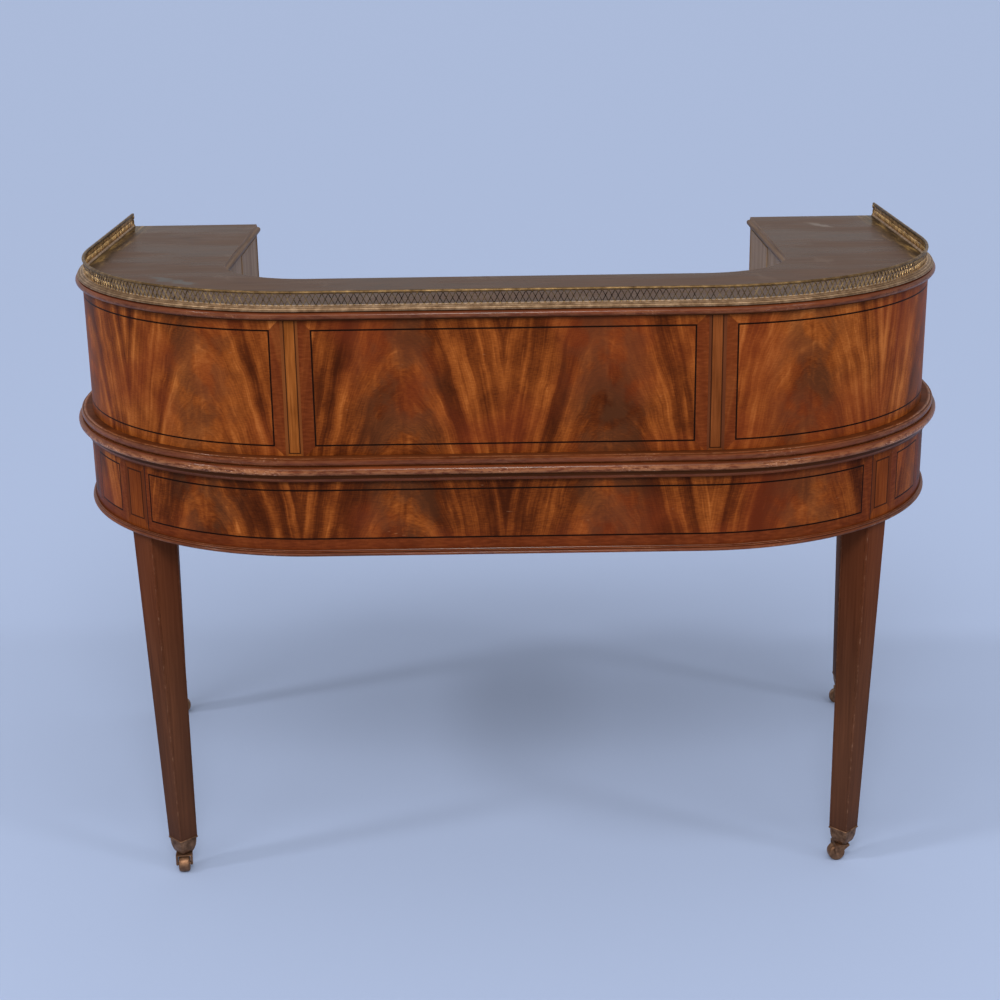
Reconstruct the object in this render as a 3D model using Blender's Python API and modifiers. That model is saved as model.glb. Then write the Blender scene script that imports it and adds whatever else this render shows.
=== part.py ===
"""A D-shaped writing desk with a raised U-shaped upper stage, a brass gallery and castors.

Metres, +Z up, origin on the floor under the middle. The rounded back faces -Y and the sitter is at +Y.
Everything is placed from the named sizes below.
"""

import math

import bmesh
import bpy
from mathutils import Matrix

# Clearances
GAP = 0.0003
RUNNING = 0.0005
DRAWER_SIDE_ROOM = 0.0010
DRAWER_TOP_ROOM = 0.0012
JOIN = 0.0010
STEP_BACK = 0.0001

# Plan of the frieze, whose outer face every offset below is measured from
HALF_WIDTH = 0.690
DEPTH = 0.800
CORNER_RADIUS = 0.403
CORNER_STEPS = 20

# Lower stage
KNEE_HEIGHT = 0.599
FRIEZE_HEIGHT = 0.1165
FRIEZE_THICKNESS = 0.018
BEAD_HEIGHT = 0.010
BEAD_PROUD = 0.0058
BEAD_ROUND = 0.0015
RAIL_HEIGHT = 0.018
RAIL_DEPTH = 0.025
RUNNER_WIDTH = 0.070
RUNNER_HEIGHT = 0.012
DIVIDER_SHARE = 0.24 / 0.637
DIVIDER_THICKNESS = 0.020
NECK_HEIGHT = 0.0122
NECK_PROUD = 0.0080
NOSE_HEIGHT = 0.0120
NOSE_PROUD = 0.0190
NOSE_ROUND = 0.0045
LEATHER_FROM_WING = 0.055
LEATHER_FROM_WELL = 0.057
LEATHER_FROM_FRONT = 0.050
LEATHER_THICKNESS = 0.0012

# Legs and castors
LEG_TOP = 0.053
LEG_SHOULDER = 0.0485
LEG_FOOT = 0.0315
BACK_FOOT_INSET = 0.010
BACK_LEG_TURN = 45.5
SOCKET_WALL = 0.0018
SOCKET_RIM = 0.035
SOCKET_RIM_HEIGHT = 0.0030
SOCKET_WIDE = 0.0325
SOCKET_NARROW = 0.0250
SOCKET_HEIGHT = 0.0281
SOCKET_FLOOR = 0.0026
WHEEL_RADIUS = 0.0140
WHEEL_WIDTH = 0.018
WHEEL_EDGE = 0.0030
WHEEL_STEPS = 32
PIN_STEPS = 16
WHEEL_BORE = 0.0030
AXLE_RADIUS = 0.0025
CASTOR_TRAIL = 0.011
FORK_WIDTH = 0.027
CHEEK_THICKNESS = 0.0032
FORK_PLATE = 0.0020
FORK_BACK = 0.0075
FORK_BOSS = 0.0055
WHEEL_ROOM = 0.0011
PIVOT_RADIUS = 0.0030
PIVOT_ROOM = 0.0004
CASTOR_TURNS = {"back_left": -84, "back_right": -172, "front_left": 10, "front_right": 170}

# Frieze drawers
DRAWER_FRONT = 0.018
DRAWER_DEPTH = 0.340
DRAWER_WALL = 0.009
DRAWER_FLOOR = 0.006
KNOB_SHARE = 0.14 / 0.24
KNOB_RADIUS = 0.0140
KNOB_LENGTH = 0.0185

# Upper stage
STAGE_SET_BACK = 0.0053
STAGE_FROM_FRONT = 0.020
STAGE_BASE_GROOVE = 0.0049
STAGE_BASE_BEAD = 0.0073
STAGE_BASE_NECK_PROUD = 0.0060
STAGE_BASE_PROUD = 0.0135
STAGE_BASE_ROUND = 0.0020
STAGE_HEIGHT = 0.2010
STAGE_WALL = 0.012
WELL_FROM_BACK = 0.233
WELL_RADIUS = 0.148
WELL_STEPS = 10
TOP_UNDER = 0.0027
TOP_NOSE = 0.0094
TOP_OVER = 0.0060
TOP_PROUD = 0.0057
TOP_ROUND = 0.0025
TOP_BODY_BACK = 0.0012
TOP_WELL_PROUD = 0.0055
PILASTER_FROM_CORNER = 0.0085
PILASTER_WIDTH = 0.026
PILASTER_TO_WELL = 0.0115
DOOR_THICKNESS = 0.014
DOOR_SPAN = 83
DOOR_BEVEL = 7
STILE_DEPTH = 0.014
WING_DRAWER_BAY = 0.220

# Small drawers and pigeonholes
SHELF_HEIGHT = 0.094
SHELF_THICKNESS = 0.006
CASE_DIVIDER = 0.008
SMALL_FRONT = 0.010
SMALL_WALL = 0.006
SMALL_FLOOR = 0.004
SMALL_BACK_ROOM = 0.0157
WING_BACK_ROOM = 0.0177
SMALL_KNOB_RADIUS = 0.0085
SMALL_KNOB_LENGTH = 0.0150

# Turned knobs, as shares of their radius and their length
KNOB_NECK = 0.36
KNOB_ROSE = 0.80
KNOB_ROSE_TOP = 0.10
KNOB_NECK_LOW = 0.16
KNOB_NECK_HIGH = 0.42
KNOB_CROWN = 0.28
KNOB_TURNS = (25, 50, 75, 100, 130)
KNOB_STEPS = 20

# Gallery
GALLERY_INSET = 0.0058
GALLERY_BASE_WIDTH = 0.0070
GALLERY_BASE_HEIGHT = 0.0062
GALLERY_WEB = 0.0016
GALLERY_RAIL_WIDTH = 0.0050
GALLERY_RAIL_HEIGHT = 0.0046
GALLERY_RAIL_ROUND = 0.0012
GALLERY_HEIGHT = 0.0240
GALLERY_STOP = 0.001

# Worked out from the sizes above
BACK_Y = -DEPTH / 2
FRONT_Y = DEPTH / 2
CORNER_X = HALF_WIDTH - CORNER_RADIUS
CORNER_Y = BACK_Y + CORNER_RADIUS
STAGE_FRONT = FRONT_Y - STAGE_FROM_FRONT
FRIEZE_TOP = KNEE_HEIGHT + FRIEZE_HEIGHT
BOARD_LOW = FRIEZE_TOP + GAP
NOSE_LOW = BOARD_LOW + NECK_HEIGHT
BOARD_TOP = NOSE_LOW + NOSE_HEIGHT
BASE_LOW = BOARD_TOP + GAP
BASE_TOP = BASE_LOW + STAGE_BASE_GROOVE + STAGE_BASE_BEAD
STAGE_LOW = BASE_TOP + GAP
STAGE_TOP = STAGE_LOW + STAGE_HEIGHT
TOP_LOW = STAGE_TOP + GAP
TOP_HIGH = TOP_LOW + TOP_UNDER + TOP_NOSE + TOP_OVER
RAIL_TOP = KNEE_HEIGHT + RAIL_HEIGHT
LEG_INNER = HALF_WIDTH - LEG_TOP
AXLE_Z = WHEEL_RADIUS * math.cos(math.pi / WHEEL_STEPS)
FORK_LOW = AXLE_Z + WHEEL_RADIUS + WHEEL_ROOM
FORK_HIGH = FORK_LOW + FORK_PLATE
SOCKET_LOW = FORK_HIGH + GAP
SOCKET_TOP = SOCKET_LOW + SOCKET_HEIGHT
SHELF_LOW = STAGE_LOW + SHELF_HEIGHT
DIVIDER_X = LEG_INNER * DIVIDER_SHARE
CENTRE_KNOB_X = DIVIDER_X * KNOB_SHARE
PILASTER_X = CORNER_X + PILASTER_FROM_CORNER
PILASTER_OUTER = PILASTER_X + PILASTER_WIDTH
WELL_BACK = BACK_Y + WELL_FROM_BACK
WELL_CENTRE = (PILASTER_X + PILASTER_TO_WELL, WELL_BACK + WELL_RADIUS)
WELL_HALF_WIDTH = WELL_CENTRE[0] + WELL_RADIUS
HINGE = (WELL_HALF_WIDTH, WELL_CENTRE[1])
DOOR_END_X = WELL_CENTRE[0] + WELL_RADIUS * math.cos(math.radians(DOOR_SPAN))
INSIDE_WALL_X = HALF_WIDTH - STAGE_SET_BACK - STAGE_WALL
INSIDE_WALL_Y = BACK_Y + STAGE_SET_BACK + STAGE_WALL
WING_STEP = STAGE_FRONT - WING_DRAWER_BAY
SMALL_DEPTH = WELL_BACK - INSIDE_WALL_Y - SMALL_BACK_ROOM
WING_DRAWER_DEPTH = INSIDE_WALL_X - WELL_HALF_WIDTH - WING_BACK_ROOM
LEATHER_HALF_WIDTH = WELL_HALF_WIDTH - LEATHER_FROM_WING
LEATHER_BACK = WELL_BACK + LEATHER_FROM_WELL
LEATHER_FRONT = FRONT_Y - LEATHER_FROM_FRONT
GALLERY_END = STAGE_FRONT - GALLERY_STOP
SIDES = {"left": -1, "right": 1}


def clear_scene():
    for found in list(bpy.data.objects):
        bpy.data.objects.remove(found, do_unlink=True)


def new_collection(name):
    made = bpy.data.collections.new(name)
    bpy.context.scene.collection.children.link(made)
    return made


def look(name, colour, roughness, metallic=0.0):
    made = bpy.data.materials.new(name)
    made.use_nodes = True
    shader = made.node_tree.nodes["Principled BSDF"]
    shader.inputs["Base Color"].default_value = (*colour, 1.0)
    shader.inputs["Roughness"].default_value = roughness
    shader.inputs["Metallic"].default_value = metallic
    made.diffuse_color = (*colour, 1.0)
    return made


clear_scene()
PARTS = new_collection("carlton_house_desk")
CUTTERS = new_collection("cutters")
VENEER = look("figured_mahogany", (0.24, 0.085, 0.030), 0.35)
MAHOGANY = look("mahogany", (0.17, 0.060, 0.028), 0.40)
LINING = look("oak_lining", (0.36, 0.22, 0.11), 0.60)
BRASS = look("aged_brass", (0.42, 0.30, 0.14), 0.40, 1.0)
BRONZE = look("dark_brass", (0.25, 0.16, 0.08), 0.45, 1.0)
LEATHER = look("green_leather", (0.04, 0.09, 0.05), 0.55)


def as_part(name, mesh, material):
    part = bpy.data.objects.new(name, mesh)
    mesh.materials.clear()
    mesh.materials.append(material)
    PARTS.objects.link(part)
    return part


def as_cutter(tool):
    """Takes an object out of the parts, so that a Boolean can use it and a render leaves it out."""
    PARTS.objects.unlink(tool)
    CUTTERS.objects.link(tool)
    tool.hide_render = True
    tool.display_type = "WIRE"
    return tool


def boolean(part, tool, operation):
    modifier = part.modifiers.new(tool.name, "BOOLEAN")
    modifier.object = as_cutter(tool)
    modifier.operation = operation
    modifier.solver = "EXACT"


def cut(part, *tools):
    for tool in tools:
        boolean(part, tool, "DIFFERENCE")


def join(part, *tools):
    for tool in tools:
        boolean(part, tool, "UNION")
    return part


def smooth(part, degrees=30):
    part.data.shade_smooth()
    part.data.set_sharp_from_angle(angle=math.radians(degrees))


def box(name, low, high, material):
    """A block between two corners, with its origin at its middle."""
    mesh = bpy.data.meshes.new(name)
    form = bmesh.new()
    bmesh.ops.create_cube(form, size=1.0)
    bmesh.ops.scale(form, vec=[b - a for a, b in zip(low, high)], verts=form.verts)
    form.to_mesh(mesh)
    form.free()
    part = as_part(name, mesh, material)
    part.location = [(a + b) / 2 for a, b in zip(low, high)]
    return part


def cylinder(name, radius, length, steps, material):
    """A round bar along its own Z, with its origin at its middle."""
    mesh = bpy.data.meshes.new(name)
    form = bmesh.new()
    bmesh.ops.create_cone(
        form, cap_ends=True, segments=steps, radius1=radius, radius2=radius, depth=length
    )
    form.to_mesh(mesh)
    form.free()
    part = as_part(name, mesh, material)
    smooth(part)
    return part


def turned(name, profile, steps, material):
    """A closed profile of (radius, height) points turned round its own Z."""
    mesh = bpy.data.meshes.new(name)
    count = len(profile)
    corners = [(radius, 0, height) for radius, height in profile]
    edges = [(i, (i + 1) % count) for i in range(count)]
    mesh.from_pydata(corners, edges, [])
    part = as_part(name, mesh, material)
    screw = part.modifiers.new("turn", "SCREW")
    screw.steps = steps
    screw.render_steps = steps
    screw.use_merge_vertices = True
    screw.merge_threshold = 0.00001
    return part


def square_bar(name, sections, material):
    """A square bar along its own Z through (height, width, shift along Y) sections, lowest first."""
    mesh = bpy.data.meshes.new(name)
    form = bmesh.new()
    low, width, shift = sections[0]
    half = width / 2
    ring = [form.verts.new((x * half, y * half, low)) for x, y in ((-1, -1), (1, -1), (1, 1), (-1, 1))]
    bottom = face = form.faces.new(ring)
    for height, next_width, next_shift in sections[1:]:
        made = bmesh.ops.extrude_face_region(form, geom=[face])
        if face is not bottom:
            bmesh.ops.delete(form, geom=[face], context="FACES_ONLY")
        ring = [found for found in made["geom"] if isinstance(found, bmesh.types.BMVert)]
        face = next(found for found in made["geom"] if isinstance(found, bmesh.types.BMFace))
        scale = next_width / width
        bmesh.ops.translate(form, vec=(0, -shift, 0), verts=ring)
        bmesh.ops.scale(form, vec=(scale, scale, 1.0), verts=ring)
        bmesh.ops.translate(form, vec=(0, next_shift, height - low), verts=ring)
        low, width, shift = height, next_width, next_shift
    bmesh.ops.recalc_face_normals(form, faces=form.faces)
    form.to_mesh(mesh)
    form.free()
    return as_part(name, mesh, material)


def plate(name, outlines, low, high, material, rounding=0.0):
    """A flat outline with any holes after it, raised along Z from low to high."""
    curve = bpy.data.curves.new(name, "CURVE")
    curve.dimensions = "2D"
    curve.fill_mode = "BOTH"
    curve.extrude = (high - low) / 2 - rounding
    curve.bevel_depth = rounding
    curve.bevel_resolution = 1
    curve.offset = -rounding
    for outline in outlines:
        spline = curve.splines.new("POLY")
        spline.points.add(len(outline) - 1)
        for point, (x, y) in zip(spline.points, outline):
            point.co = (x, y, 0, 1)
        spline.use_cyclic_u = True
    guide = bpy.data.objects.new(name, curve)
    PARTS.objects.link(guide)
    guide.location.z = (low + high) / 2
    bpy.context.view_layer.update()
    evaluated = guide.evaluated_get(bpy.context.evaluated_depsgraph_get())
    mesh = bpy.data.meshes.new_from_object(evaluated)
    matrix = guide.matrix_world.copy()
    bpy.data.objects.remove(guide, do_unlink=True)
    bpy.data.curves.remove(curve)
    form = bmesh.new()
    form.from_mesh(mesh)
    bmesh.ops.remove_doubles(form, verts=form.verts, dist=0.00001)
    bmesh.ops.recalc_face_normals(form, faces=form.faces)
    form.to_mesh(mesh)
    form.free()
    part = as_part(name, mesh, material)
    part.name = name
    part.matrix_world = matrix
    smooth(part)
    return part


def board_along_x(name, outline, left, right, material):
    """A flat outline of (y, z) points, raised along X from left to right."""
    part = plate(name, [outline], -(right - left) / 2, (right - left) / 2, material)
    part.matrix_world = Matrix(
        ((0, 0, 1, (left + right) / 2), (1, 0, 0, 0), (0, 1, 0, 0), (0, 0, 0, 1))
    )
    return part


def board_along_y(name, outline, front, back, material):
    """A flat outline of (x, z) points, raised along Y between two places."""
    part = plate(name, [outline], -(back - front) / 2, (back - front) / 2, material)
    part.matrix_world = Matrix(
        ((1, 0, 0, 0), (0, 0, -1, (front + back) / 2), (0, 1, 0, 0), (0, 0, 0, 1))
    )
    return part


def mirrored(points):
    """The same points on the other side of the middle, in the opposite order."""
    return [(-x, y) for x, y in reversed(points)]


def to_side(points, side):
    return points if side > 0 else mirrored(points)


def arc(centre, radius, start, end, steps):
    """Points round a centre, with angles in degrees from +X."""
    turns = [math.radians(start + (end - start) * i / steps) for i in range(steps + 1)]
    return [(centre[0] + radius * math.cos(t), centre[1] + radius * math.sin(t)) for t in turns]


def corner(offset, start, end):
    """The right back corner at an offset: 0 degrees where the straight back ends, 90 at the side."""
    steps = max(1, round(abs(end - start) / 90 * CORNER_STEPS))
    return arc((CORNER_X, CORNER_Y), CORNER_RADIUS + offset, start - 90, end - 90, steps)


def corner_angle(offset, x):
    """Where on the right back corner, at an offset, a given x lies."""
    return math.degrees(math.asin((x - CORNER_X) / (CORNER_RADIUS + offset)))


def outer_path(offset, front):
    """Round the outside, from the right front corner round the back to the left front corner."""
    right = [(HALF_WIDTH + offset, front)] + corner(offset, 90, 0)
    return right + mirrored(right)


def well_path(overhang, front):
    """Round the writing well, from its right front corner round the back to its left front corner."""
    x = WELL_HALF_WIDTH - overhang
    right = [(x, front)] + arc(WELL_CENTRE, WELL_RADIUS - overhang, 0, -90, WELL_STEPS)
    return right + mirrored(right)


def stage_plan(offset, overhang, front):
    """The U-shaped plan of the upper stage."""
    return outer_path(offset, front) + well_path(overhang, front)[::-1]


def leg_places():
    """Each leg's name with the middle of its top, its turn about Z in degrees and its foot's inset."""
    places = {}
    turn = math.radians(BACK_LEG_TURN)
    facet_radius = CORNER_RADIUS * math.cos(math.radians(45 / CORNER_STEPS))
    reach = math.sqrt(facet_radius**2 - (LEG_TOP / 2) ** 2) - LEG_TOP / 2
    back = (CORNER_X + reach * math.sin(turn), CORNER_Y - reach * math.cos(turn))
    front = (HALF_WIDTH - LEG_TOP / 2, FRONT_Y - LEG_TOP / 2)
    for side_name, side in SIDES.items():
        places[f"back_{side_name}"] = (side * back[0], back[1], side * BACK_LEG_TURN, BACK_FOOT_INSET)
        places[f"front_{side_name}"] = (side * front[0], front[1], 0, 0)
    return places


def make_legs():
    tenon_low = SOCKET_LOW + SOCKET_FLOOR + GAP
    tenon_top = SOCKET_TOP + GAP
    tenon_wide = SOCKET_WIDE - 2 * SOCKET_WALL - 2 * GAP
    share = (tenon_low - SOCKET_LOW) / (SOCKET_HEIGHT - SOCKET_RIM_HEIGHT)
    tenon_narrow = SOCKET_NARROW + (SOCKET_WIDE - SOCKET_NARROW) * share - 2 * SOCKET_WALL - 2 * GAP
    for name, (x, y, turn, inset) in leg_places().items():
        sections = [
            (tenon_low, tenon_narrow, 0),
            (tenon_top, tenon_wide, 0),
            (tenon_top + GAP, LEG_FOOT, 0),
            (KNEE_HEIGHT - GAP, LEG_SHOULDER, -inset),
            (KNEE_HEIGHT, LEG_TOP, -inset),
            (FRIEZE_TOP, LEG_TOP, -inset),
        ]
        leg = square_bar(f"leg_{name}", sections, MAHOGANY)
        socket = make_socket(name, tenon_low, tenon_narrow, tenon_wide)
        angle = math.radians(turn)
        foot = (x - inset * math.sin(angle), y + inset * math.cos(angle), 0)
        place([leg, *socket], foot, turn)
        make_castor(name, foot)


def make_socket(name, tenon_low, tenon_narrow, tenon_wide):
    """A tapered cup with a proud rim, hollow for the leg's end and pierced for the castor's pivot."""
    rim_low = SOCKET_TOP - SOCKET_RIM_HEIGHT
    sections = [
        (SOCKET_LOW, SOCKET_NARROW, 0),
        (rim_low, SOCKET_WIDE, 0),
        (rim_low + GAP, SOCKET_RIM, 0),
        (SOCKET_TOP, SOCKET_RIM, 0),
    ]
    socket = square_bar(f"socket_{name}", sections, BRONZE)
    mouth = tenon_wide + 2 * GAP
    sections = [
        (tenon_low - GAP, tenon_narrow + 2 * GAP, 0),
        (SOCKET_TOP + GAP, mouth, 0),
        (SOCKET_TOP + SOCKET_RIM_HEIGHT, mouth, 0),
    ]
    room = square_bar(f"socket_room_{name}", sections, BRONZE)
    hole = cylinder(f"pivot_hole_{name}", PIVOT_RADIUS + PIVOT_ROOM, 4 * SOCKET_FLOOR, PIN_STEPS, BRONZE)
    hole.data.transform(Matrix.Translation((0, 0, SOCKET_LOW)))
    cut(socket, room, hole)
    return socket, room, hole


def make_castor(name, foot):
    """A swivelling fork under an empty on the swivel axis, and the wheel between its cheeks."""
    swivel = bpy.data.objects.new(f"castor_axis_{name}", None)
    PARTS.objects.link(swivel)
    swivel.location = foot
    swivel.rotation_euler.z = math.radians(CASTOR_TURNS[name])
    half = FORK_WIDTH / 2
    fork = box(
        f"castor_fork_{name}",
        (-FORK_BACK, -half, FORK_LOW),
        (CASTOR_TRAIL + FORK_BOSS, half, FORK_HIGH),
        BRONZE,
    )
    outline = [(-FORK_BACK, FORK_HIGH - GAP), (-FORK_BACK, FORK_LOW)]
    outline += arc((CASTOR_TRAIL, AXLE_Z), FORK_BOSS, -150, 10, 8)
    outline += [(CASTOR_TRAIL + FORK_BOSS - GAP, FORK_HIGH - GAP)]
    pieces = []
    for end, inner in (("a", half - CHEEK_THICKNESS), ("b", -half)):
        pieces.append(
            board_along_y(
                f"cheek_{end}_{name}", outline, inner + GAP, inner + CHEEK_THICKNESS - GAP, BRONZE
            )
        )
    pin = cylinder(f"axle_{name}", AXLE_RADIUS, FORK_WIDTH - CHEEK_THICKNESS, PIN_STEPS, BRONZE)
    pin.location = (CASTOR_TRAIL, 0, AXLE_Z)
    pin.rotation_euler.x = math.pi / 2
    pivot = cylinder(f"pivot_{name}", PIVOT_RADIUS, SOCKET_FLOOR + JOIN, PIN_STEPS, BRONZE)
    pivot.location = (0, 0, FORK_HIGH - JOIN / 2 + SOCKET_FLOOR / 2)
    wheel = make_wheel(name)
    wheel.location = (CASTOR_TRAIL, 0, AXLE_Z)
    for piece in (fork, wheel, pin, pivot, *pieces):
        piece.parent = swivel
    join(fork, *pieces, pin, pivot)


def make_wheel(name):
    half = WHEEL_WIDTH / 2
    upper = arc((WHEEL_RADIUS - WHEEL_EDGE, half - WHEEL_EDGE), WHEEL_EDGE, 90, 0, 3)
    lower = [(radius, -height) for radius, height in reversed(upper)]
    profile = [(WHEEL_BORE, half)] + upper + lower + [(WHEEL_BORE, -half)]
    wheel = turned(f"castor_wheel_{name}", profile, WHEEL_STEPS, BRASS)
    flat_down = Matrix.Rotation(math.pi / WHEEL_STEPS, 4, "Z")
    wheel.data.transform(flat_down)
    wheel.data.transform(Matrix.Rotation(-math.pi / 2, 4, "X"))
    wheel.modifiers["turn"].axis = "Y"
    return wheel


def leg_room(name, tag):
    """The space that a back leg's stile takes between the frieze boards."""
    x, y, turn, _ = leg_places()[name]
    width = LEG_TOP + 2 * GAP
    room = box(
        f"leg_room_{name}_{tag}",
        (-width / 2, -width / 2 - BEAD_PROUD, KNEE_HEIGHT - JOIN),
        (width / 2, width / 2, FRIEZE_TOP + JOIN),
        MAHOGANY,
    )
    room.data.transform(Matrix.Translation(room.location))
    room.location = (x, y, 0)
    room.rotation_euler.z = math.radians(turn)
    return room


def make_friezes():
    """The long curved board at the back and the two side boards, each cut where a leg stands."""
    inner = -FRIEZE_THICKNESS
    half_back = corner(0, BACK_LEG_TURN, 0)
    half_inner = corner(inner, BACK_LEG_TURN, 0)
    outline = half_back + mirrored(half_back) + (half_inner + mirrored(half_inner))[::-1]
    back = plate("frieze_back", [outline], KNEE_HEIGHT, FRIEZE_TOP, VENEER)
    cut(back, leg_room("back_left", "long"), leg_room("back_right", "long"))
    end = FRONT_Y - LEG_TOP - GAP
    shelf_low = RAIL_TOP - RUNNER_HEIGHT
    for name, side in SIDES.items():
        outside = corner(0, BACK_LEG_TURN, 90) + [(HALF_WIDTH, end)]
        inside = corner(inner, BACK_LEG_TURN, 90) + [(HALF_WIDTH + inner, end)]
        board = plate(
            f"frieze_{name}",
            [to_side(outside + inside[::-1], side)],
            KNEE_HEIGHT,
            FRIEZE_TOP,
            VENEER,
        )
        seat = HALF_WIDTH - FRIEZE_THICKNESS
        near, far = sorted((side * (seat - RUNNER_WIDTH), side * (seat + JOIN)))
        runner = box(f"runner_{name}", (near, CORNER_Y, shelf_low), (far, end, RAIL_TOP), LINING)
        join(board, runner)
        cut(board, leg_room(f"back_{name}", "short"))


def make_lower_trims():
    """The bead nailed round the bottom of the frieze, and the rail under the drawers."""
    plate(
        "frieze_bead",
        [
            outer_path(BEAD_PROUD, FRONT_Y + BEAD_PROUD),
            outer_path(GAP, FRONT_Y + GAP),
        ],
        KNEE_HEIGHT,
        KNEE_HEIGHT + BEAD_HEIGHT,
        MAHOGANY,
        rounding=BEAD_ROUND,
    )
    end = LEG_INNER - GAP
    box("drawer_rail", (-end, FRONT_Y - RAIL_DEPTH, KNEE_HEIGHT), (end, FRONT_Y, RAIL_TOP), MAHOGANY)


def make_dividers():
    """The upright between two drawers, with the runner that both slide on."""
    rear = BACK_Y + FRIEZE_THICKNESS + GAP
    rail_rear = FRONT_Y - RAIL_DEPTH - GAP
    for name, side in SIDES.items():
        middle = side * DIVIDER_X
        half = DIVIDER_THICKNESS / 2
        outline = [
            (rear, RAIL_TOP - RUNNER_HEIGHT + JOIN),
            (rail_rear, RAIL_TOP - RUNNER_HEIGHT + JOIN),
            (rail_rear, RAIL_TOP + GAP),
            (FRONT_Y, RAIL_TOP + GAP),
            (FRONT_Y, FRIEZE_TOP),
            (rear, FRIEZE_TOP),
        ]
        divider = board_along_x(f"drawer_divider_{name}", outline, middle - half, middle + half, MAHOGANY)
        runner = box(
            f"divider_runner_{name}",
            (middle - RUNNER_WIDTH / 2, rear, RAIL_TOP - RUNNER_HEIGHT),
            (middle + RUNNER_WIDTH / 2, rail_rear, RAIL_TOP),
            LINING,
        )
        join(divider, runner)


def tray(name, size, front, wall, floor, material):
    """An open box along -Y from its front face, with its origin at the bottom middle of that face."""
    width, depth, height = size
    part = box(name, (-width / 2, -depth, 0), (width / 2, 0, height), material)
    hollow = box(
        f"{name}_hollow",
        (wall - width / 2, wall - depth, floor),
        (width / 2 - wall, -front if front else JOIN, height + JOIN),
        material,
    )
    for piece in (part, hollow):
        piece.data.transform(Matrix.Translation(piece.location))
        piece.location = (0, 0, 0)
    cut(part, hollow)
    return part, hollow


def knob(name, radius, length):
    """A turned knob along its own Y, standing on the plane y = 0."""
    profile = [(0, length)]
    for turn in KNOB_TURNS:
        angle = math.radians(turn)
        height = length * (1 - KNOB_CROWN + KNOB_CROWN * math.cos(angle))
        profile.append((radius * math.sin(angle), height))
    profile += [
        (radius * KNOB_NECK, length * KNOB_NECK_HIGH),
        (radius * KNOB_NECK, length * KNOB_NECK_LOW),
        (radius * KNOB_ROSE, length * KNOB_ROSE_TOP),
        (radius * KNOB_ROSE, 0),
        (0, 0),
    ]
    part = turned(name, profile, KNOB_STEPS, BRASS)
    part.data.transform(Matrix.Rotation(-math.pi / 2, 4, "X"))
    part.modifiers["turn"].axis = "Y"
    return part


def place(parts, location, turn=0.0):
    for part in parts:
        part.location = location
        part.rotation_euler.z = math.radians(turn)


def make_frieze_drawers():
    low = RAIL_TOP + GAP
    height = FRIEZE_TOP - low - DRAWER_TOP_ROOM
    inner_edge = DIVIDER_X - DIVIDER_THICKNESS / 2 - DRAWER_SIDE_ROOM
    side_low = DIVIDER_X + DIVIDER_THICKNESS / 2 + DRAWER_SIDE_ROOM
    side_high = LEG_INNER - DRAWER_SIDE_ROOM
    spans = {
        "left": (-side_high, -side_low),
        "centre": (-inner_edge, inner_edge),
        "right": (side_low, side_high),
    }
    for name, (start, end) in spans.items():
        middle = (start + end) / 2
        width = end - start
        front = box(
            f"frieze_drawer_front_{name}",
            (start, FRONT_Y - DRAWER_FRONT, low),
            (end, FRONT_Y, low + height),
            VENEER,
        )
        front.data.transform(Matrix.Translation((0, -DRAWER_FRONT / 2, height / 2)))
        front.location = (middle, FRONT_Y, low)
        rear = FRONT_Y - DRAWER_FRONT - GAP
        body = tray(
            f"frieze_drawer_box_{name}",
            (width - 2 * DRAWER_SIDE_ROOM, DRAWER_DEPTH, height - DRAWER_WALL),
            0,
            DRAWER_WALL,
            DRAWER_FLOOR,
            LINING,
        )
        place(body, (middle, rear, low))
        places = (("a", -CENTRE_KNOB_X), ("b", CENTRE_KNOB_X)) if name == "centre" else (("a", 0),)
        for tag, shift in places:
            handle = knob(f"frieze_knob_{name}_{tag}", KNOB_RADIUS, KNOB_LENGTH)
            place([handle], (middle + shift, FRONT_Y + GAP, low + height / 2))


def moulded_board(name, plan, low, layers, material):
    """Layers of one plan at different offsets, joined: each is a height, an offset and a rounding."""
    pieces = []
    for index, (height, offset, rounding) in enumerate(layers):
        start = low if index == 0 else low - JOIN
        pieces.append(
            plate(
                name if index == 0 else f"{name}_layer_{index}",
                [plan(offset)],
                start,
                low + height,
                material,
                rounding,
            )
        )
        low += height
    return join(pieces[0], *pieces[1:])


def make_table_top():
    board = moulded_board(
        "table_top",
        lambda offset: outer_path(offset, FRONT_Y + offset),
        BOARD_LOW,
        [(NECK_HEIGHT, NECK_PROUD, 0.0), (NOSE_HEIGHT, NOSE_PROUD, NOSE_ROUND)],
        VENEER,
    )
    corners = (-LEATHER_HALF_WIDTH, LEATHER_BACK), (LEATHER_HALF_WIDTH, LEATHER_FRONT)
    low = BOARD_TOP - LEATHER_THICKNESS
    box("writing_leather", (*corners[0], low), (*corners[1], BOARD_TOP), LEATHER)
    recess = box(
        "leather_room",
        (corners[0][0] - GAP, corners[0][1] - GAP, low - GAP),
        (corners[1][0] + GAP, corners[1][1] + GAP, BOARD_TOP + JOIN),
        LEATHER,
    )
    cut(board, recess)


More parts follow.
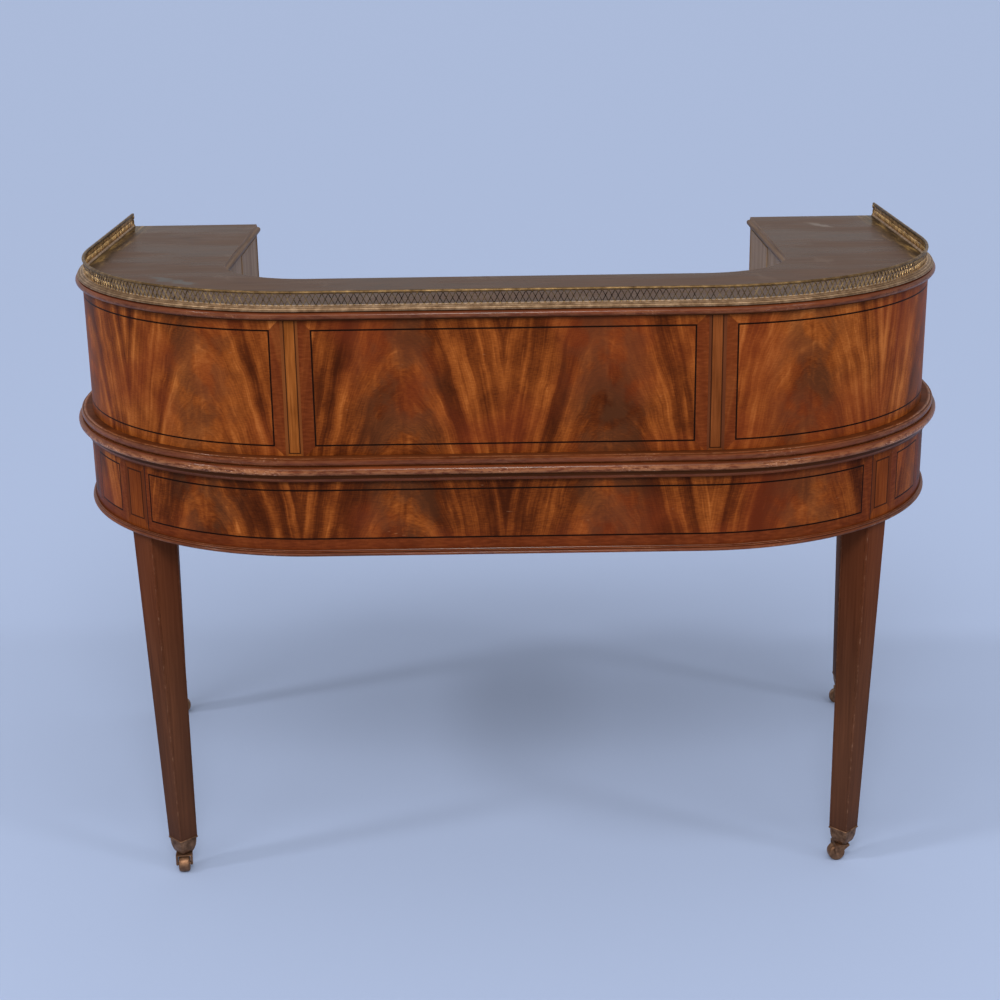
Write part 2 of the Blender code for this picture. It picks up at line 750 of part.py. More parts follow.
def make_stage_boards():
    """The moulded base and top of the upper stage."""
    moulded_board(
        "stage_base",
        lambda offset: stage_plan(offset, 0.0, STAGE_FRONT + offset),
        BASE_LOW,
        [
            (STAGE_BASE_GROOVE, STAGE_BASE_NECK_PROUD, 0.0),
            (STAGE_BASE_BEAD, STAGE_BASE_PROUD, STAGE_BASE_ROUND),
        ],
        MAHOGANY,
    )
    body = -TOP_BODY_BACK
    moulded_board(
        "stage_top",
        lambda offset: stage_plan(
            offset, TOP_WELL_PROUD if offset > 0 else 0.0, STAGE_FRONT + STAGE_SET_BACK + offset
        ),
        TOP_LOW,
        [
            (TOP_UNDER, body, 0.0),
            (TOP_NOSE, TOP_PROUD, TOP_ROUND),
            (TOP_OVER, body, 0.0),
        ],
        VENEER,
    )


def make_stage_walls():
    outer = -STAGE_SET_BACK
    inner = outer - STAGE_WALL
    edge = PILASTER_X - GAP
    spread = corner_angle(outer, edge), corner_angle(inner, edge)
    half_out = arc((CORNER_X, CORNER_Y), CORNER_RADIUS + outer, spread[0] - 90, -90, 2)
    half_in = arc((CORNER_X, CORNER_Y), CORNER_RADIUS + inner, spread[1] - 90, -90, 2)
    outline = half_out + mirrored(half_out) + (half_in + mirrored(half_in))[::-1]
    plate("back_panel", [outline], STAGE_LOW, STAGE_TOP, VENEER)
    edge = PILASTER_OUTER + GAP
    spread = corner_angle(outer, edge), corner_angle(inner, edge)
    for name, side in SIDES.items():
        outline = corner(outer, spread[0], 90) + [(HALF_WIDTH + outer, STAGE_FRONT)]
        outline += [(HALF_WIDTH + inner, STAGE_FRONT)] + corner(inner, 90, spread[1])
        plate(f"end_panel_{name}", [to_side(outline, side)], STAGE_LOW, STAGE_TOP, VENEER)


def make_pilasters():
    """The uprights whose back edges show as pilasters, each with a stile beside the corner door."""
    reach = CORNER_RADIUS - STAGE_SET_BACK
    back = CORNER_Y - math.sqrt(reach**2 - (PILASTER_OUTER - CORNER_X) ** 2)
    stile_x = DOOR_END_X - RUNNING
    for name, side in SIDES.items():
        outline = [
            (PILASTER_X, back),
            (PILASTER_OUTER, back),
            (PILASTER_OUTER, WELL_BACK - STILE_DEPTH),
            (stile_x, WELL_BACK - STILE_DEPTH),
            (stile_x, WELL_BACK),
            (PILASTER_X, WELL_BACK),
        ]
        plate(f"pilaster_{name}", [to_side(outline, side)], STAGE_LOW, STAGE_TOP, MAHOGANY)


def make_wings():
    """The fixed inner face beside each corner door with the partition behind it, and the front board."""
    face = WELL_HALF_WIDTH
    back = face + STAGE_WALL
    wall = INSIDE_WALL_X - GAP
    for name, side in SIDES.items():
        outline = [
            (face, HINGE[1] + RUNNING),
            (back, HINGE[1] + RUNNING),
            (back, WING_STEP - STAGE_WALL),
            (wall, WING_STEP - STAGE_WALL),
            (wall, WING_STEP),
            (face, WING_STEP),
        ]
        plate(f"wing_partition_{name}", [to_side(outline, side)], STAGE_LOW, STAGE_TOP, MAHOGANY)
        near, far = sorted((side * face, side * wall))
        box(
            f"wing_front_{name}",
            (near, STAGE_FRONT - STAGE_WALL, STAGE_LOW),
            (far, STAGE_FRONT, STAGE_TOP),
            VENEER,
        )


def make_corner_doors():
    """Concave doors, each with its origin on its hinge axis at the wing's inner face."""
    low = STAGE_LOW + GAP
    high = STAGE_TOP - RUNNING
    centre = (-WELL_RADIUS, 0.0)
    for name, side in SIDES.items():
        outline = arc(centre, WELL_RADIUS, 0, -DOOR_SPAN, WELL_STEPS)
        outline += arc(centre, WELL_RADIUS + DOOR_THICKNESS, DOOR_BEVEL - DOOR_SPAN, 0, WELL_STEPS)
        door = plate(f"corner_door_{name}", [to_side(outline, side)], low, high, VENEER)
        door.location.x = side * HINGE[0]
        door.location.y = HINGE[1]


def make_centre_case():
    """The shelf and the two upright dividers between the small drawers and the pigeonholes."""
    inside = PILASTER_X - GAP
    width = (2 * inside - 2 * CASE_DIVIDER) / 3
    rear = INSIDE_WALL_Y + GAP
    case = box(
        "pigeonhole_case",
        (-inside, rear, SHELF_LOW),
        (inside, WELL_BACK, SHELF_LOW + SHELF_THICKNESS),
        LINING,
    )
    dividers = []
    for name, side in SIDES.items():
        edges = sorted((side * width / 2, side * (width / 2 + CASE_DIVIDER)))
        dividers.append(
            box(
                f"case_divider_{name}",
                (edges[0], rear - STEP_BACK, STAGE_LOW),
                (edges[1], WELL_BACK - STEP_BACK, STAGE_TOP),
                LINING,
            )
        )
    join(case, *dividers)
    return width


def make_small_drawers(bay):
    low = STAGE_LOW + GAP
    height = SHELF_LOW - low - DRAWER_TOP_ROOM
    for index, name in enumerate(("left", "centre", "right")):
        middle = (index - 1) * (bay + CASE_DIVIDER)
        body = tray(
            f"small_drawer_{name}",
            (bay - 2 * DRAWER_SIDE_ROOM, SMALL_DEPTH, height),
            SMALL_FRONT,
            SMALL_WALL,
            SMALL_FLOOR,
            VENEER,
        )
        place(body, (middle, WELL_BACK, low))
        handle = knob(f"small_knob_{name}", SMALL_KNOB_RADIUS, SMALL_KNOB_LENGTH)
        place([handle], (middle, WELL_BACK + GAP, low + height / 2))


def make_wing_drawers():
    low = STAGE_LOW + GAP
    height = STAGE_TOP - low - DRAWER_TOP_ROOM
    start = WING_STEP + DRAWER_SIDE_ROOM
    end = STAGE_FRONT - STAGE_WALL - DRAWER_SIDE_ROOM
    for name, side in SIDES.items():
        body = tray(
            f"wing_drawer_{name}",
            (end - start, WING_DRAWER_DEPTH, height),
            SMALL_FRONT,
            SMALL_WALL,
            SMALL_FLOOR,
            VENEER,
        )
        middle = (start + end) / 2
        place(body, (side * WELL_HALF_WIDTH, middle, low), 90 * side)
        handle = knob(f"wing_knob_{name}", SMALL_KNOB_RADIUS, SMALL_KNOB_LENGTH)
        place([handle], (side * (WELL_HALF_WIDTH - GAP), middle, low + height / 2), 90 * side)


def make_gallery():
    """A base rail, a thin web where the pierced lattice stands, and a top rail."""
    middle = -GALLERY_INSET - GALLERY_BASE_WIDTH / 2

    def band(width):
        outside = outer_path(middle + width / 2, GALLERY_END)
        inside = outer_path(middle - width / 2, GALLERY_END)
        return [outside + inside[::-1]]

    low = TOP_HIGH + GAP
    base_top = low + GALLERY_BASE_HEIGHT
    rail_low = low + GALLERY_HEIGHT - GALLERY_RAIL_HEIGHT
    base = plate("gallery", band(GALLERY_BASE_WIDTH), low, base_top, BRASS)
    web = plate("gallery_web", band(GALLERY_WEB), base_top - JOIN, rail_low + JOIN, BRASS)
    top = low + GALLERY_HEIGHT
    rail = plate("gallery_rail", band(GALLERY_RAIL_WIDTH), rail_low, top, BRASS, GALLERY_RAIL_ROUND)
    join(base, web, rail)


def main():
    make_legs()
    make_friezes()
    make_lower_trims()
    make_dividers()
    make_frieze_drawers()
    make_table_top()
    make_stage_boards()
    make_stage_walls()
    make_pilasters()
    make_wings()
    make_corner_doors()
    make_small_drawers(make_centre_case())
    make_wing_drawers()
    make_gallery()


main()
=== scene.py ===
"""The looks of a D-shaped writing desk: flame veneers, worn mouldings, pierced brass gallery, castors and leather.

Metres, +Z up. The rounded back faces -Y and the sitter is at +Y. Every shape is worked out from the plan
below: a straight back, a quarter circle at each back corner and a straight side. A place on it is s, the
distance along the frieze from the middle of the back (right positive), and an offset outwards from the frieze.
"""

import math

import bpy
import numpy as np
from mathutils import Euler, Matrix, Vector


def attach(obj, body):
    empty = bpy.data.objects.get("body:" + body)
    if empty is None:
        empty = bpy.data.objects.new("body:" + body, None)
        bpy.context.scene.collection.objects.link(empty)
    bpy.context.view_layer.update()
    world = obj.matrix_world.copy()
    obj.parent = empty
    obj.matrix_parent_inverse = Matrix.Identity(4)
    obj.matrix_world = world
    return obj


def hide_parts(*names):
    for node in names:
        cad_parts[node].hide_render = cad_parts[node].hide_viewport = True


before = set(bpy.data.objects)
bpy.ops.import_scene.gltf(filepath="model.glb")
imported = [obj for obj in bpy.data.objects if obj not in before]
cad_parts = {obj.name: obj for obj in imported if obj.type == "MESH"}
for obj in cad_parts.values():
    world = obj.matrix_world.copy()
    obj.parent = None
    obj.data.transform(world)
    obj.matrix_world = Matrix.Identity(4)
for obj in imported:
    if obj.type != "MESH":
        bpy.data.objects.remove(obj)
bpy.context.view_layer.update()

# Plan of the frieze
HALF_WIDTH = 0.69
BACK_Y = -0.4
FRONT_Y = 0.4
CORNER_RADIUS = 0.403
CORNER_X = HALF_WIDTH - CORNER_RADIUS
CORNER_Y = BACK_Y + CORNER_RADIUS
CORNER_RUN = CORNER_RADIUS * math.pi / 2

# Heights
FRIEZE_LOW, FRIEZE_TOP = 0.599, 0.7155
TABLE_LOW, TABLE_TOP = 0.7158, 0.74
BASE_LOW, BASE_TOP = 0.7403, 0.7525
STAGE_LOW, STAGE_TOP = 0.7528, 0.9538
BOARD_LOW, BOARD_TOP = 0.9541, 0.9722
GALLERY_LOW, GALLERY_TOP = 0.9725, 0.9965

SIDES = {"left": -1, "right": 1}

# Upper stage and well
STAGE_OFFSET = -0.0053
STAGE_FRONT = 0.38
BOARD_FRONT = 0.3841
WELL_X = 0.455
WELL_BACK = -0.167
WELL_RADIUS = 0.148
WELL_CENTRE = (WELL_X - WELL_RADIUS, WELL_BACK + WELL_RADIUS)
WING_STEP = 0.16
PILASTER = (0.2955, 0.3215)

# Layout of the veneers: shifts along s (it lies a little left of the middle), distance between two seams, and how
# steeply the arches of a plume fall away from its middle
STAGE_SHIFT = -0.0055
FRIEZE_SHIFT = -0.006
FIGURE_PERIOD = 0.303
FIGURE_RISE = 22.0

# Legs and castors: place of each foot, turn of the leg, and how far its top leans in
LEG_TURN = 45.5
LEG_FEET = {
    "front_left": (-0.6635, 0.3735, 0.0, 0.0), "back_left": (-0.547562, -0.253054, -LEG_TURN, 0.01),
    "front_right": (0.6635, 0.3735, 0.0, 0.0), "back_right": (0.547562, -0.253054, LEG_TURN, 0.01),
}
LEG_LOW, LEG_LENGTH = 0.0597, 0.539
LEG_FOOT_HALF, LEG_TOP_HALF, BLOCK_HALF = 0.0168, 0.0242, 0.0262
CASTOR_TURNS = {"back_left": -84, "back_right": -172, "front_left": 10, "front_right": 170}
CASTOR_TRAIL = 0.011
AXLE_HEIGHT = 0.01393


def turn_to_run(degrees):
    """The distance s along the plan of a place that many degrees round the right back corner."""
    return CORNER_X + CORNER_RADIUS * math.radians(degrees)


def depth_to_run(y):
    """The distance s along the plan of a place on the straight side at a given y."""
    return CORNER_X + CORNER_RUN + y - CORNER_Y


def plan(s, offset):
    """Plan points: x = min(|s|, c) + (R + offset) sin t, y = Y - (R + offset) cos t + the run past the corner."""
    far = np.abs(s)
    turn = np.clip((far - CORNER_X) / CORNER_RADIUS, 0, math.pi / 2)
    reach = CORNER_RADIUS + offset
    x = np.minimum(far, CORNER_X) + reach * np.sin(turn)
    y = CORNER_Y - reach * np.cos(turn) + np.maximum(far - CORNER_X - CORNER_RUN, 0)
    return np.where(s < 0, -x, x), y


def flat_place(origin, along, outward):
    """A place function for a flat board: origin + s along + offset outward."""

    def place(s, offset):
        return tuple(start + s * ahead + offset * out for start, ahead, out in zip(origin, along, outward))

    return place


def well_corner(side):
    """A place function round a concave corner of the well, s = 0 at the wing and negative offsets inside the wood."""

    def place(s, offset):
        turn = s / WELL_RADIUS
        reach = WELL_RADIUS - offset
        return side * (WELL_CENTRE[0] + reach * np.cos(turn)), WELL_CENTRE[1] - reach * np.sin(turn)

    return place


def stations(start, end, step):
    """Even distances from start to end, no further apart than the step."""
    return np.linspace(start, end, max(1, math.ceil(abs(end - start) / step)) + 1)


def wrap_faces(rows, columns, close_rows=False, close_columns=False):
    """Quads of a grid of points numbered row by row, with the grid place of each of their corners."""
    row = np.arange(rows if close_rows else rows - 1)
    column = np.arange(columns if close_columns else columns - 1)
    i, j = (a.ravel() for a in np.meshgrid(row, column, indexing="ij"))
    corners_i = np.stack([i, i + 1, i + 1, i], -1)
    corners_j = np.stack([j, j, j + 1, j + 1], -1)
    return (corners_i % rows) * columns + corners_j % columns, corners_i, corners_j


def tube_faces(rings, count, backward=False):
    """Faces of a tube of rings with a face at each end, and the ring and the place of the side faces' corners."""
    faces, i, j = wrap_faces(rings, count, close_columns=True)
    last = (rings - 1) * count
    ends = [tuple(range(count - 1, -1, -1)), tuple(range(last, last + count))]
    if backward:
        faces, i, j, ends = faces[:, ::-1], i[:, ::-1], j[:, ::-1], [end[::-1] for end in ends]
    return [*faces, *ends], i, j


def add_object(name, data):
    """A new object of the scene."""
    made = bpy.data.objects.new(name, data)
    bpy.context.scene.collection.objects.link(made)
    return made


def make_piece(name, points, faces, materials, body, slot, *nodes, uv=None, slots=None, values=None, sharp=35):
    """A new closed piece that rides on a body and stands for CAD nodes.

    It takes one (u, v) per face corner, one material per face and values for each point. Edges past the sharp
    angle stay sharp, and without that angle every face stays flat.
    """
    mesh = bpy.data.meshes.new(name)
    mesh.from_pydata(np.asarray(points).tolist(), [], [tuple(int(i) for i in f) for f in faces])
    for material in materials:
        mesh.materials.append(material)
    if uv is not None:
        mesh.uv_layers.new(name="UVMap").data.foreach_set("uv", np.asarray(uv, dtype=np.float32).ravel())
    if slots is not None:
        mesh.polygons.foreach_set("material_index", np.asarray(slots, dtype=np.int32))
    for key, given in (values or {}).items():
        given = np.asarray(given, dtype=np.float32)
        kind, field = ("FLOAT_VECTOR", "vector") if given.ndim == 2 else ("FLOAT", "value")
        mesh.attributes.new(key, kind, "POINT").data.foreach_set(field, given.ravel())
    if sharp:
        mesh.shade_smooth()
        mesh.set_sharp_from_angle(angle=math.radians(sharp))
    turn_outward(mesh)
    piece = add_object(name, mesh)
    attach(piece, body)
    if nodes:
        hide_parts(*nodes)


def turn_outward(mesh):
    """Turns a closed mesh the right way out if its signed volume is negative."""
    corners = np.empty(len(mesh.vertices) * 3)
    mesh.vertices.foreach_get("co", corners)
    mesh.calc_loop_triangles()
    triangles = np.empty(len(mesh.loop_triangles) * 3, int)
    mesh.loop_triangles.foreach_get("vertices", triangles)
    a, b, c = corners.reshape(-1, 3)[triangles.reshape(-1, 3)].transpose(1, 0, 2)
    if np.einsum("ij,ij->i", a, np.cross(b, c)).sum() < 0:
        mesh.flip_normals()


# Node materials


def tone(red, green, blue):
    """A colour given as 0 to 255 screen values, as the linear values that shaders use."""
    linear = [v / 255 / 12.92 if v <= 10.3 else ((v / 255 + 0.055) / 1.055) ** 2.4 for v in (red, green, blue)]
    return (*linear, 1.0)


class Value:
    """What a socket gives at each place of a surface. Arithmetic with it adds the Math nodes that work it out."""

    def __init__(self, finish, socket):
        self.finish, self.socket = finish, socket

    def __add__(self, other):
        return self.finish.math("ADD", self, other)

    def __sub__(self, other):
        return self.finish.math("SUBTRACT", self, other)

    def __rsub__(self, other):
        return self.finish.math("SUBTRACT", other, self)

    def __mul__(self, other):
        return self.finish.math("MULTIPLY", self, other)

    def __truediv__(self, other):
        return self.finish.math("DIVIDE", self, other)

    def __pow__(self, other):
        return self.finish.math("POWER", self, other)

    def __lt__(self, other):
        return self.finish.math("LESS_THAN", self, other)

    def __abs__(self):
        return self.finish.math("ABSOLUTE", self)

    __radd__, __rmul__ = __add__, __mul__


class Finish:
    """One material and the short calls that add and wire its nodes."""

    def __init__(self, name):
        self.material = bpy.data.materials.new(name)
        self.material.use_nodes = True
        self.tree = self.material.node_tree
        self.shader = self.tree.nodes["Principled BSDF"]

    def node(self, kind, **settings):
        made = self.tree.nodes.new(kind)
        for key, value in settings.items():
            setattr(made, key, value)
        return made

    def feed(self, socket, value):
        if isinstance(value, Value):
            self.tree.links.new(value.socket, socket)
        else:
            socket.default_value = value

    def fill(self, made, values):
        """Feeds a node's sockets in order and gives its first output."""
        for socket, value in zip(made.inputs, values):
            self.feed(socket, value)
        return Value(self, made.outputs[0])

    def math(self, operation, *values):
        return self.fill(self.node("ShaderNodeMath", operation=operation), values)

    def least(self, a, b):
        return self.math("MINIMUM", a, b)

    def most(self, a, b):
        return self.math("MAXIMUM", a, b)

    def split(self, vector):
        made = self.node("ShaderNodeSeparateXYZ")
        self.feed(made.inputs[0], vector)
        return [Value(self, output) for output in made.outputs]

    def noise(self, place, detail=3.0, roughness=0.5, scale=1.0, distortion=0.0):
        """Noise at a vector, or at a place given by its three numbers."""
        made = self.node("ShaderNodeTexNoise")
        if isinstance(place, tuple):
            place = self.fill(self.node("ShaderNodeCombineXYZ"), place)
        self.feed(made.inputs["Vector"], place)
        for key, value in {"Scale": scale, "Detail": detail, "Roughness": roughness, "Distortion": distortion}.items():
            made.inputs[key].default_value = value
        return Value(self, made.outputs["Fac"])

    def span(self, value, low, high, to_low=0.0, to_high=1.0):
        """Value from low..high to to_low..to_high, held at the ends and eased between them."""
        made = self.node("ShaderNodeMapRange", interpolation_type="SMOOTHSTEP")
        return self.fill(made, (value, low, high, to_low, to_high))

    def ramp(self, value, *stops):
        made = self.node("ShaderNodeValToRGB")
        elements = made.color_ramp.elements
        while len(elements) < len(stops):
            elements.new(0.5)
        for element, (place, colour) in zip(elements, stops):
            element.position = place
            element.color = tone(*colour)
        return self.fill(made, [value])

    def shade(self, value, dark, light, places=(0.36, 0.5, 0.66)):
        """A ramp from dark through the colour halfway to light."""
        middle = tuple((a + b) / 2 for a, b in zip(dark, light))
        return self.ramp(value, *zip(places, (dark, middle, light)))

    def mix(self, amount, a, b):
        made = self.node("ShaderNodeMix", data_type="RGBA")
        for socket, value in zip((made.inputs[0], *made.inputs[6:8]), (amount, a, b)):
            self.feed(socket, tone(*value) if isinstance(value, tuple) else value)
        return Value(self, made.outputs[2])

    def uv(self):
        return self.split(Value(self, self.node("ShaderNodeUVMap", uv_map="UVMap").outputs[0]))

    def place(self):
        return Value(self, self.node("ShaderNodeTexCoord").outputs["Object"])

    def attribute(self, name, output="Fac"):
        return Value(self, self.node("ShaderNodeAttribute", attribute_name=name).outputs[output])

    def surface(self, colour, roughness, metallic=0.0, coat=0.0, coat_roughness=0.1, ior=1.25):
        finish = {"Base Color": colour, "Roughness": roughness, "Metallic": metallic, "Coat Weight": coat,
                  "Coat Roughness": coat_roughness, "IOR": ior}
        for key, value in finish.items():
            self.feed(self.shader.inputs[key], value)
        return self.material

    def bump(self, height, distance, strength=0.5):
        made = self.node("ShaderNodeBump")
        for key, value in (("Distance", distance), ("Strength", strength), ("Height", height)):
            self.feed(made.inputs[key], value)
        self.feed(self.shader.inputs["Normal"], Value(self, made.outputs[0]))


def flame_veneer(name, seed, tint=0.0, calm=0.35):
    """Book-matched crotch veneer with black string lines and a few fine scratches.

    q is the distance from a plume's middle, mirrored at each seam, and w = v + k q^2 is the height of the arch
    that passes through a point. Bands and streaks are noise that varies fast with w and slowly with q, so they
    stand nearly upright beside a seam. Feathers are arches with one sharp and one fading side, and the heart of
    each plume is duller and darker, with short upright wisps.
    """
    f = Finish(name)
    s, v, _ = f.uv()
    q = f.math("PINGPONG", s, FIGURE_PERIOD) - FIGURE_PERIOD / 2
    far = abs(q)
    drift = s * 0.8 + seed
    sway = f.noise((q, v, drift), 2, scale=8)
    curl = f.noise((q, v, drift), 2, scale=30)
    arch = q * q * FIGURE_RISE + v
    arch = (sway - 0.5) * 0.085 + arch
    arch = (curl - 0.5) * 0.02 + arch
    bands = f.noise((arch * 12.5, q * 7, drift), 2, 0.4)
    streaks = f.noise((arch * 36, q * 10, drift))
    pores = f.noise((arch * 200, q * 60, drift), 3, 0.6)
    tick = f.noise((s * 120, v * 760, seed), 2)
    cloud = f.noise((q, v, drift), scale=22)
    wisps = f.noise((q * 120, v * 24, drift), 3, 0.6)
    broken = f.noise((q, v, s * 6 + seed), 2, scale=14)
    turn = f.math("FRACT", arch * 15 + streaks * 0.5)
    feather = turn ** 2.2 * f.span(turn, 1.0, 0.86) * f.span(broken, 0.42, 0.7)
    heart = f.span(far, 0.02, 0.085, 1.0, 0.0)
    value = (cloud - 0.5) * 0.36 + (bands * 0.74 + streaks * 0.17) + 0.052
    value = (value - 0.5) * (heart * -calm + 1.0) + 0.5
    value = feather * 0.14 + (heart * -0.05 + value)
    value = (tick - 0.5) * 0.22 + ((pores - 0.5) * 0.24 + value)
    spine = f.span(far, 0.0, 0.018, 1.0, 0.0) * (wisps - 0.48)
    value = spine * 0.4 + (value + tint)
    colour = f.ramp(value, (0.3, (62, 25, 8)), (0.42, (88, 39, 13)), (0.52, (118, 57, 20)), (0.62, (146, 76, 29)),
                    (0.78, (186, 108, 50)))
    ruddy = f.noise((s, v, seed), 2, scale=6)
    colour = f.mix(f.span(ruddy, 0.44, 0.62, 0.0, 0.4), colour, (124, 50, 24))
    colour = f.mix(heart * f.span(cloud, 0.6, 0.42, 0.0, 0.35), colour, (96, 60, 36))
    band, line = string_lines(f)
    cross = f.noise((s * 70, v * 300, seed), 4)
    banding = f.ramp(cross, (0.3, (88, 36, 14)), (0.52, (102, 45, 19)), (0.72, (120, 56, 26)))
    colour = f.mix(band * 0.8, colour, banding)
    colour = f.mix(line, colour, (24, 12, 6))
    scratch = f.noise((s * 46, v * 520, seed), 1)
    colour = f.mix(f.span(scratch, 0.8, 0.84, 0.0, 0.5), colour, (196, 138, 96))
    f.bump(pores + line * -0.6, 0.0001)
    return f.surface(colour, f.span(value, 0.35, 0.75, 0.4, 0.46), coat=0.02, coat_roughness=0.12, ior=1.08)


def string_lines(f):
    """Masks of the plain banding and of the inlaid string, from the distances to the string's rectangle."""
    left, right, half = f.split(f.attribute("across", "Vector"))
    low, high, plain_below = f.split(f.attribute("upright", "Vector"))
    side = f.least(left, right)
    end = f.least(low, high)
    beside = (side < 0.0) * (side < end)
    below = (low < 0.0) * plain_below
    return f.most(beside, below), abs(f.least(side, end)) < half


def straight_veneer(name, dark, light, edge):
    """Straight upright grain of a plainer veneer, with thin string lines and a strip outside them."""
    f = Finish(name)
    s, v, _ = f.uv()
    grain = f.noise((s * 420, v * 16, 1.0), 4, 0.6)
    broad = f.noise((s * 40, v * 9, 6.0))
    band, line = string_lines(f)
    colour = f.mix(band * 0.75, f.shade(grain * 0.5 + broad * 0.5, dark, light), edge)
    colour = f.mix(line * 0.9, colour, (48, 24, 12))
    f.bump(grain - line, 0.0001)
    return f.surface(colour, 0.46, ior=1.08)


def plain_wood(name, axis, dark, light, rough=(0.42, 0.55), coat=0.02):
    """Straight-grained wood on Object coordinates: noise stretched along one axis, and broad blotches."""
    f = Finish(name)
    x, y, z = (value * (260.0 / 28 if key == axis else 260.0) for key, value in zip("xyz", f.split(f.place())))
    streaks = f.noise((x, y, z), 4, 0.6, distortion=0.4)
    broad = f.noise((x * 0.12, y * 0.12, z * 0.12))
    patch = f.noise(f.place(), scale=6)
    value = patch * 0.2 + (broad * 0.45 + streaks * 0.4)
    f.bump(streaks, 0.00015)
    colour = f.shade(value, dark, light, (0.36, 0.52, 0.68))
    return f.surface(colour, f.span(value, 0.4, 0.65, rough[1], rough[0]), coat=coat, coat_roughness=0.2, ior=1.15)


def moulding_wood(name, dark, light, chip):
    """Mahogany with its grain along the run (u).

    It is rubbed and chipped in patches where the wear attribute is high. Where grime is high it is dark and dull:
    dirt, and painted shade in the grooves, recesses and undersides.
    """
    f = Finish(name)
    u, v, _ = f.uv()
    streaks = f.noise((u * 11, v * 420, 0.3), 4, 0.6)
    broad = f.noise((u * 5, v * 30, 1.7))
    rub = f.noise((u * 60, v * 240, 4.2), 4, 0.7)
    nick = f.noise((u * 190, v * 420, 8.1), 4, 0.7)
    patch = f.noise((u * 7.5, 7.7, 0.4), 2)
    wear = f.attribute("wear")
    grime_and_shade = f.attribute("grime_and_shade")
    worn = wear * (f.span(rub, 0.36, 0.6) * f.span(patch, 0.4, 0.56, 0.55, 1.0))
    chips = wear * (f.span(nick, 0.56, 0.64) * f.span(patch, 0.47, 0.58))
    colour = f.mix(worn * 0.75, f.shade(broad * 0.5 + streaks * 0.5, dark, light), chip)
    colour = f.mix(chips * 0.75, colour, (226, 172, 140))
    # Dark brown where grime is high: dirt, and painted shade in grooves, recesses and undersides
    colour = f.mix(grime_and_shade * 0.8, colour, (60, 36, 18))
    f.bump(streaks - chips * 0.8, 0.0002)
    return f.surface(colour, 0.45, coat=f.span(grime_and_shade, 0.45, 0.0, 0.0, 0.38), coat_roughness=0.15, ior=1.08)


# Old stains on the top: middle, half lengths, turn in degrees, strength and colour
TOP_MARKS = (
    ((-0.518, -0.168), (0.052, 0.013), -41.0, 0.6, (84, 86, 86)),
    ((0.565, 0.28), (0.034, 0.009), -60.0, 0.5, (124, 112, 104)),
    ((0.358, -0.147), (0.006, 0.004), 0.0, 0.9, (38, 28, 24)),
)


def board_top(name):
    """The dulled top: dark brown with faint grain, greyish bloom, a few stains and a dim gold strip by each arm."""
    f = Finish(name)
    x, y, _ = f.split(f.place())
    grain = f.noise((x * 9, y * 210, 0.0), 4, 0.6)
    bloom = f.noise((x * 3.2, y * 10, 2.0), 4, 0.6)
    stain = f.noise((x, y, 5.0), 4, 0.62, scale=11, distortion=0.6)
    colour = f.ramp(grain * 0.55 + bloom * 0.45, (0.34, (56, 36, 25)), (0.5, (74, 50, 36)), (0.66, (90, 65, 49)))
    colour = f.mix(f.span(stain, 0.6, 0.72, 0.0, 0.35), colour, (56, 42, 36))
    colour = f.mix(f.span(stain, 0.4, 0.3, 0.0, 0.25), colour, (116, 98, 86))
    streak = f.noise((x * 90, y * 9, 1.0), 4, 0.6)
    gilt = f.ramp(streak, (0.42, (48, 36, 22)), (0.54, (90, 69, 40)), (0.66, (148, 117, 68)))
    by_arm = f.span(abs(x), 0.64, 0.672) * f.span(y, -0.2, -0.08)
    colour = f.mix(by_arm * 0.9, colour, gilt)
    smear = f.noise((x, y, 9.0), 4, 0.6, scale=55)
    for (middle_x, middle_y), (long, short), angle, amount, stained in TOP_MARKS:
        cos, sin = math.cos(math.radians(angle)), math.sin(math.radians(angle))
        ahead, beside = x - middle_x, y - middle_y
        along, across = ahead * cos + beside * sin, beside * cos + ahead * -sin
        ragged = (smear - 0.5) * 5.0 + ((along / long) ** 2.0 + (across / short) ** 2.0)
        colour = f.mix(f.span(ragged, 1.5, 0.3, 0.0, amount), colour, stained)
    f.bump(grain, 0.0001, 0.4)
    return f.surface(colour, f.span(bloom, 0.35, 0.65, 0.22, 0.34), ior=1.08)


def leg_wood(name, dark, light, edge):
    """Upright grain, redder at the top and dustier below, with a fine crack beside each rubbed arris."""
    f = Finish(name)
    u = f.uv()[0]
    x, y, z = f.split(f.place())
    grain = f.noise((x * 240, y * 240, z * 7), 4, 0.6, distortion=0.3)
    broad = f.noise((x * 30, y * 30, z * 3))
    colour = f.shade(grain * 0.5 + broad * 0.5, dark, light, (0.3, 0.5, 0.72))
    face = f.math("FRACT", u)
    corner = f.least(face, 1.0 - face)
    rub = f.noise((u * 5, z * 58, 2.0), 4, 0.8)
    colour = f.mix(f.span(z, 0.5, 0.08, 0.0, 0.45), colour, (84, 58, 46))
    colour = f.mix(f.span(z, 0.32, 0.58, 0.0, 0.45), colour, (106, 50, 24))
    crack = (abs(corner - 0.085) < 0.01) * f.span(rub, 0.56, 0.44)
    colour = f.mix(crack * 0.55, colour, (40, 22, 14))
    arris = f.span(corner, 0.05, 0.01) * f.span(rub, 0.5, 0.64)
    colour = f.mix(arris * 0.34, colour, edge)
    f.bump(grain, 0.0002)
    return f.surface(colour, 0.5, ior=1.08)


def old_brass(name, dark, light, scale=90.0, rough=0.38):
    """Toned brass: brown film in patches over paler metal, brighter where the wear attribute is high. That is a lighter
    tone on the small turned parts and painted highlight and shade on the gallery's rails and lattice.
    """
    f = Finish(name)
    place = f.place()
    film = f.noise(place, 4, 0.6, scale)
    speck = f.noise(place, 3, 0.6, scale * 9)
    value = f.attribute("wear") * 0.3 + (film * 0.7 + speck * 0.3)
    f.bump(speck, 0.0002)
    colour = f.shade(value, dark, light, (0.36, 0.54, 0.74))
    return f.surface(colour, f.span(value, 0.4, 0.75, rough + 0.14, rough), metallic=0.85)


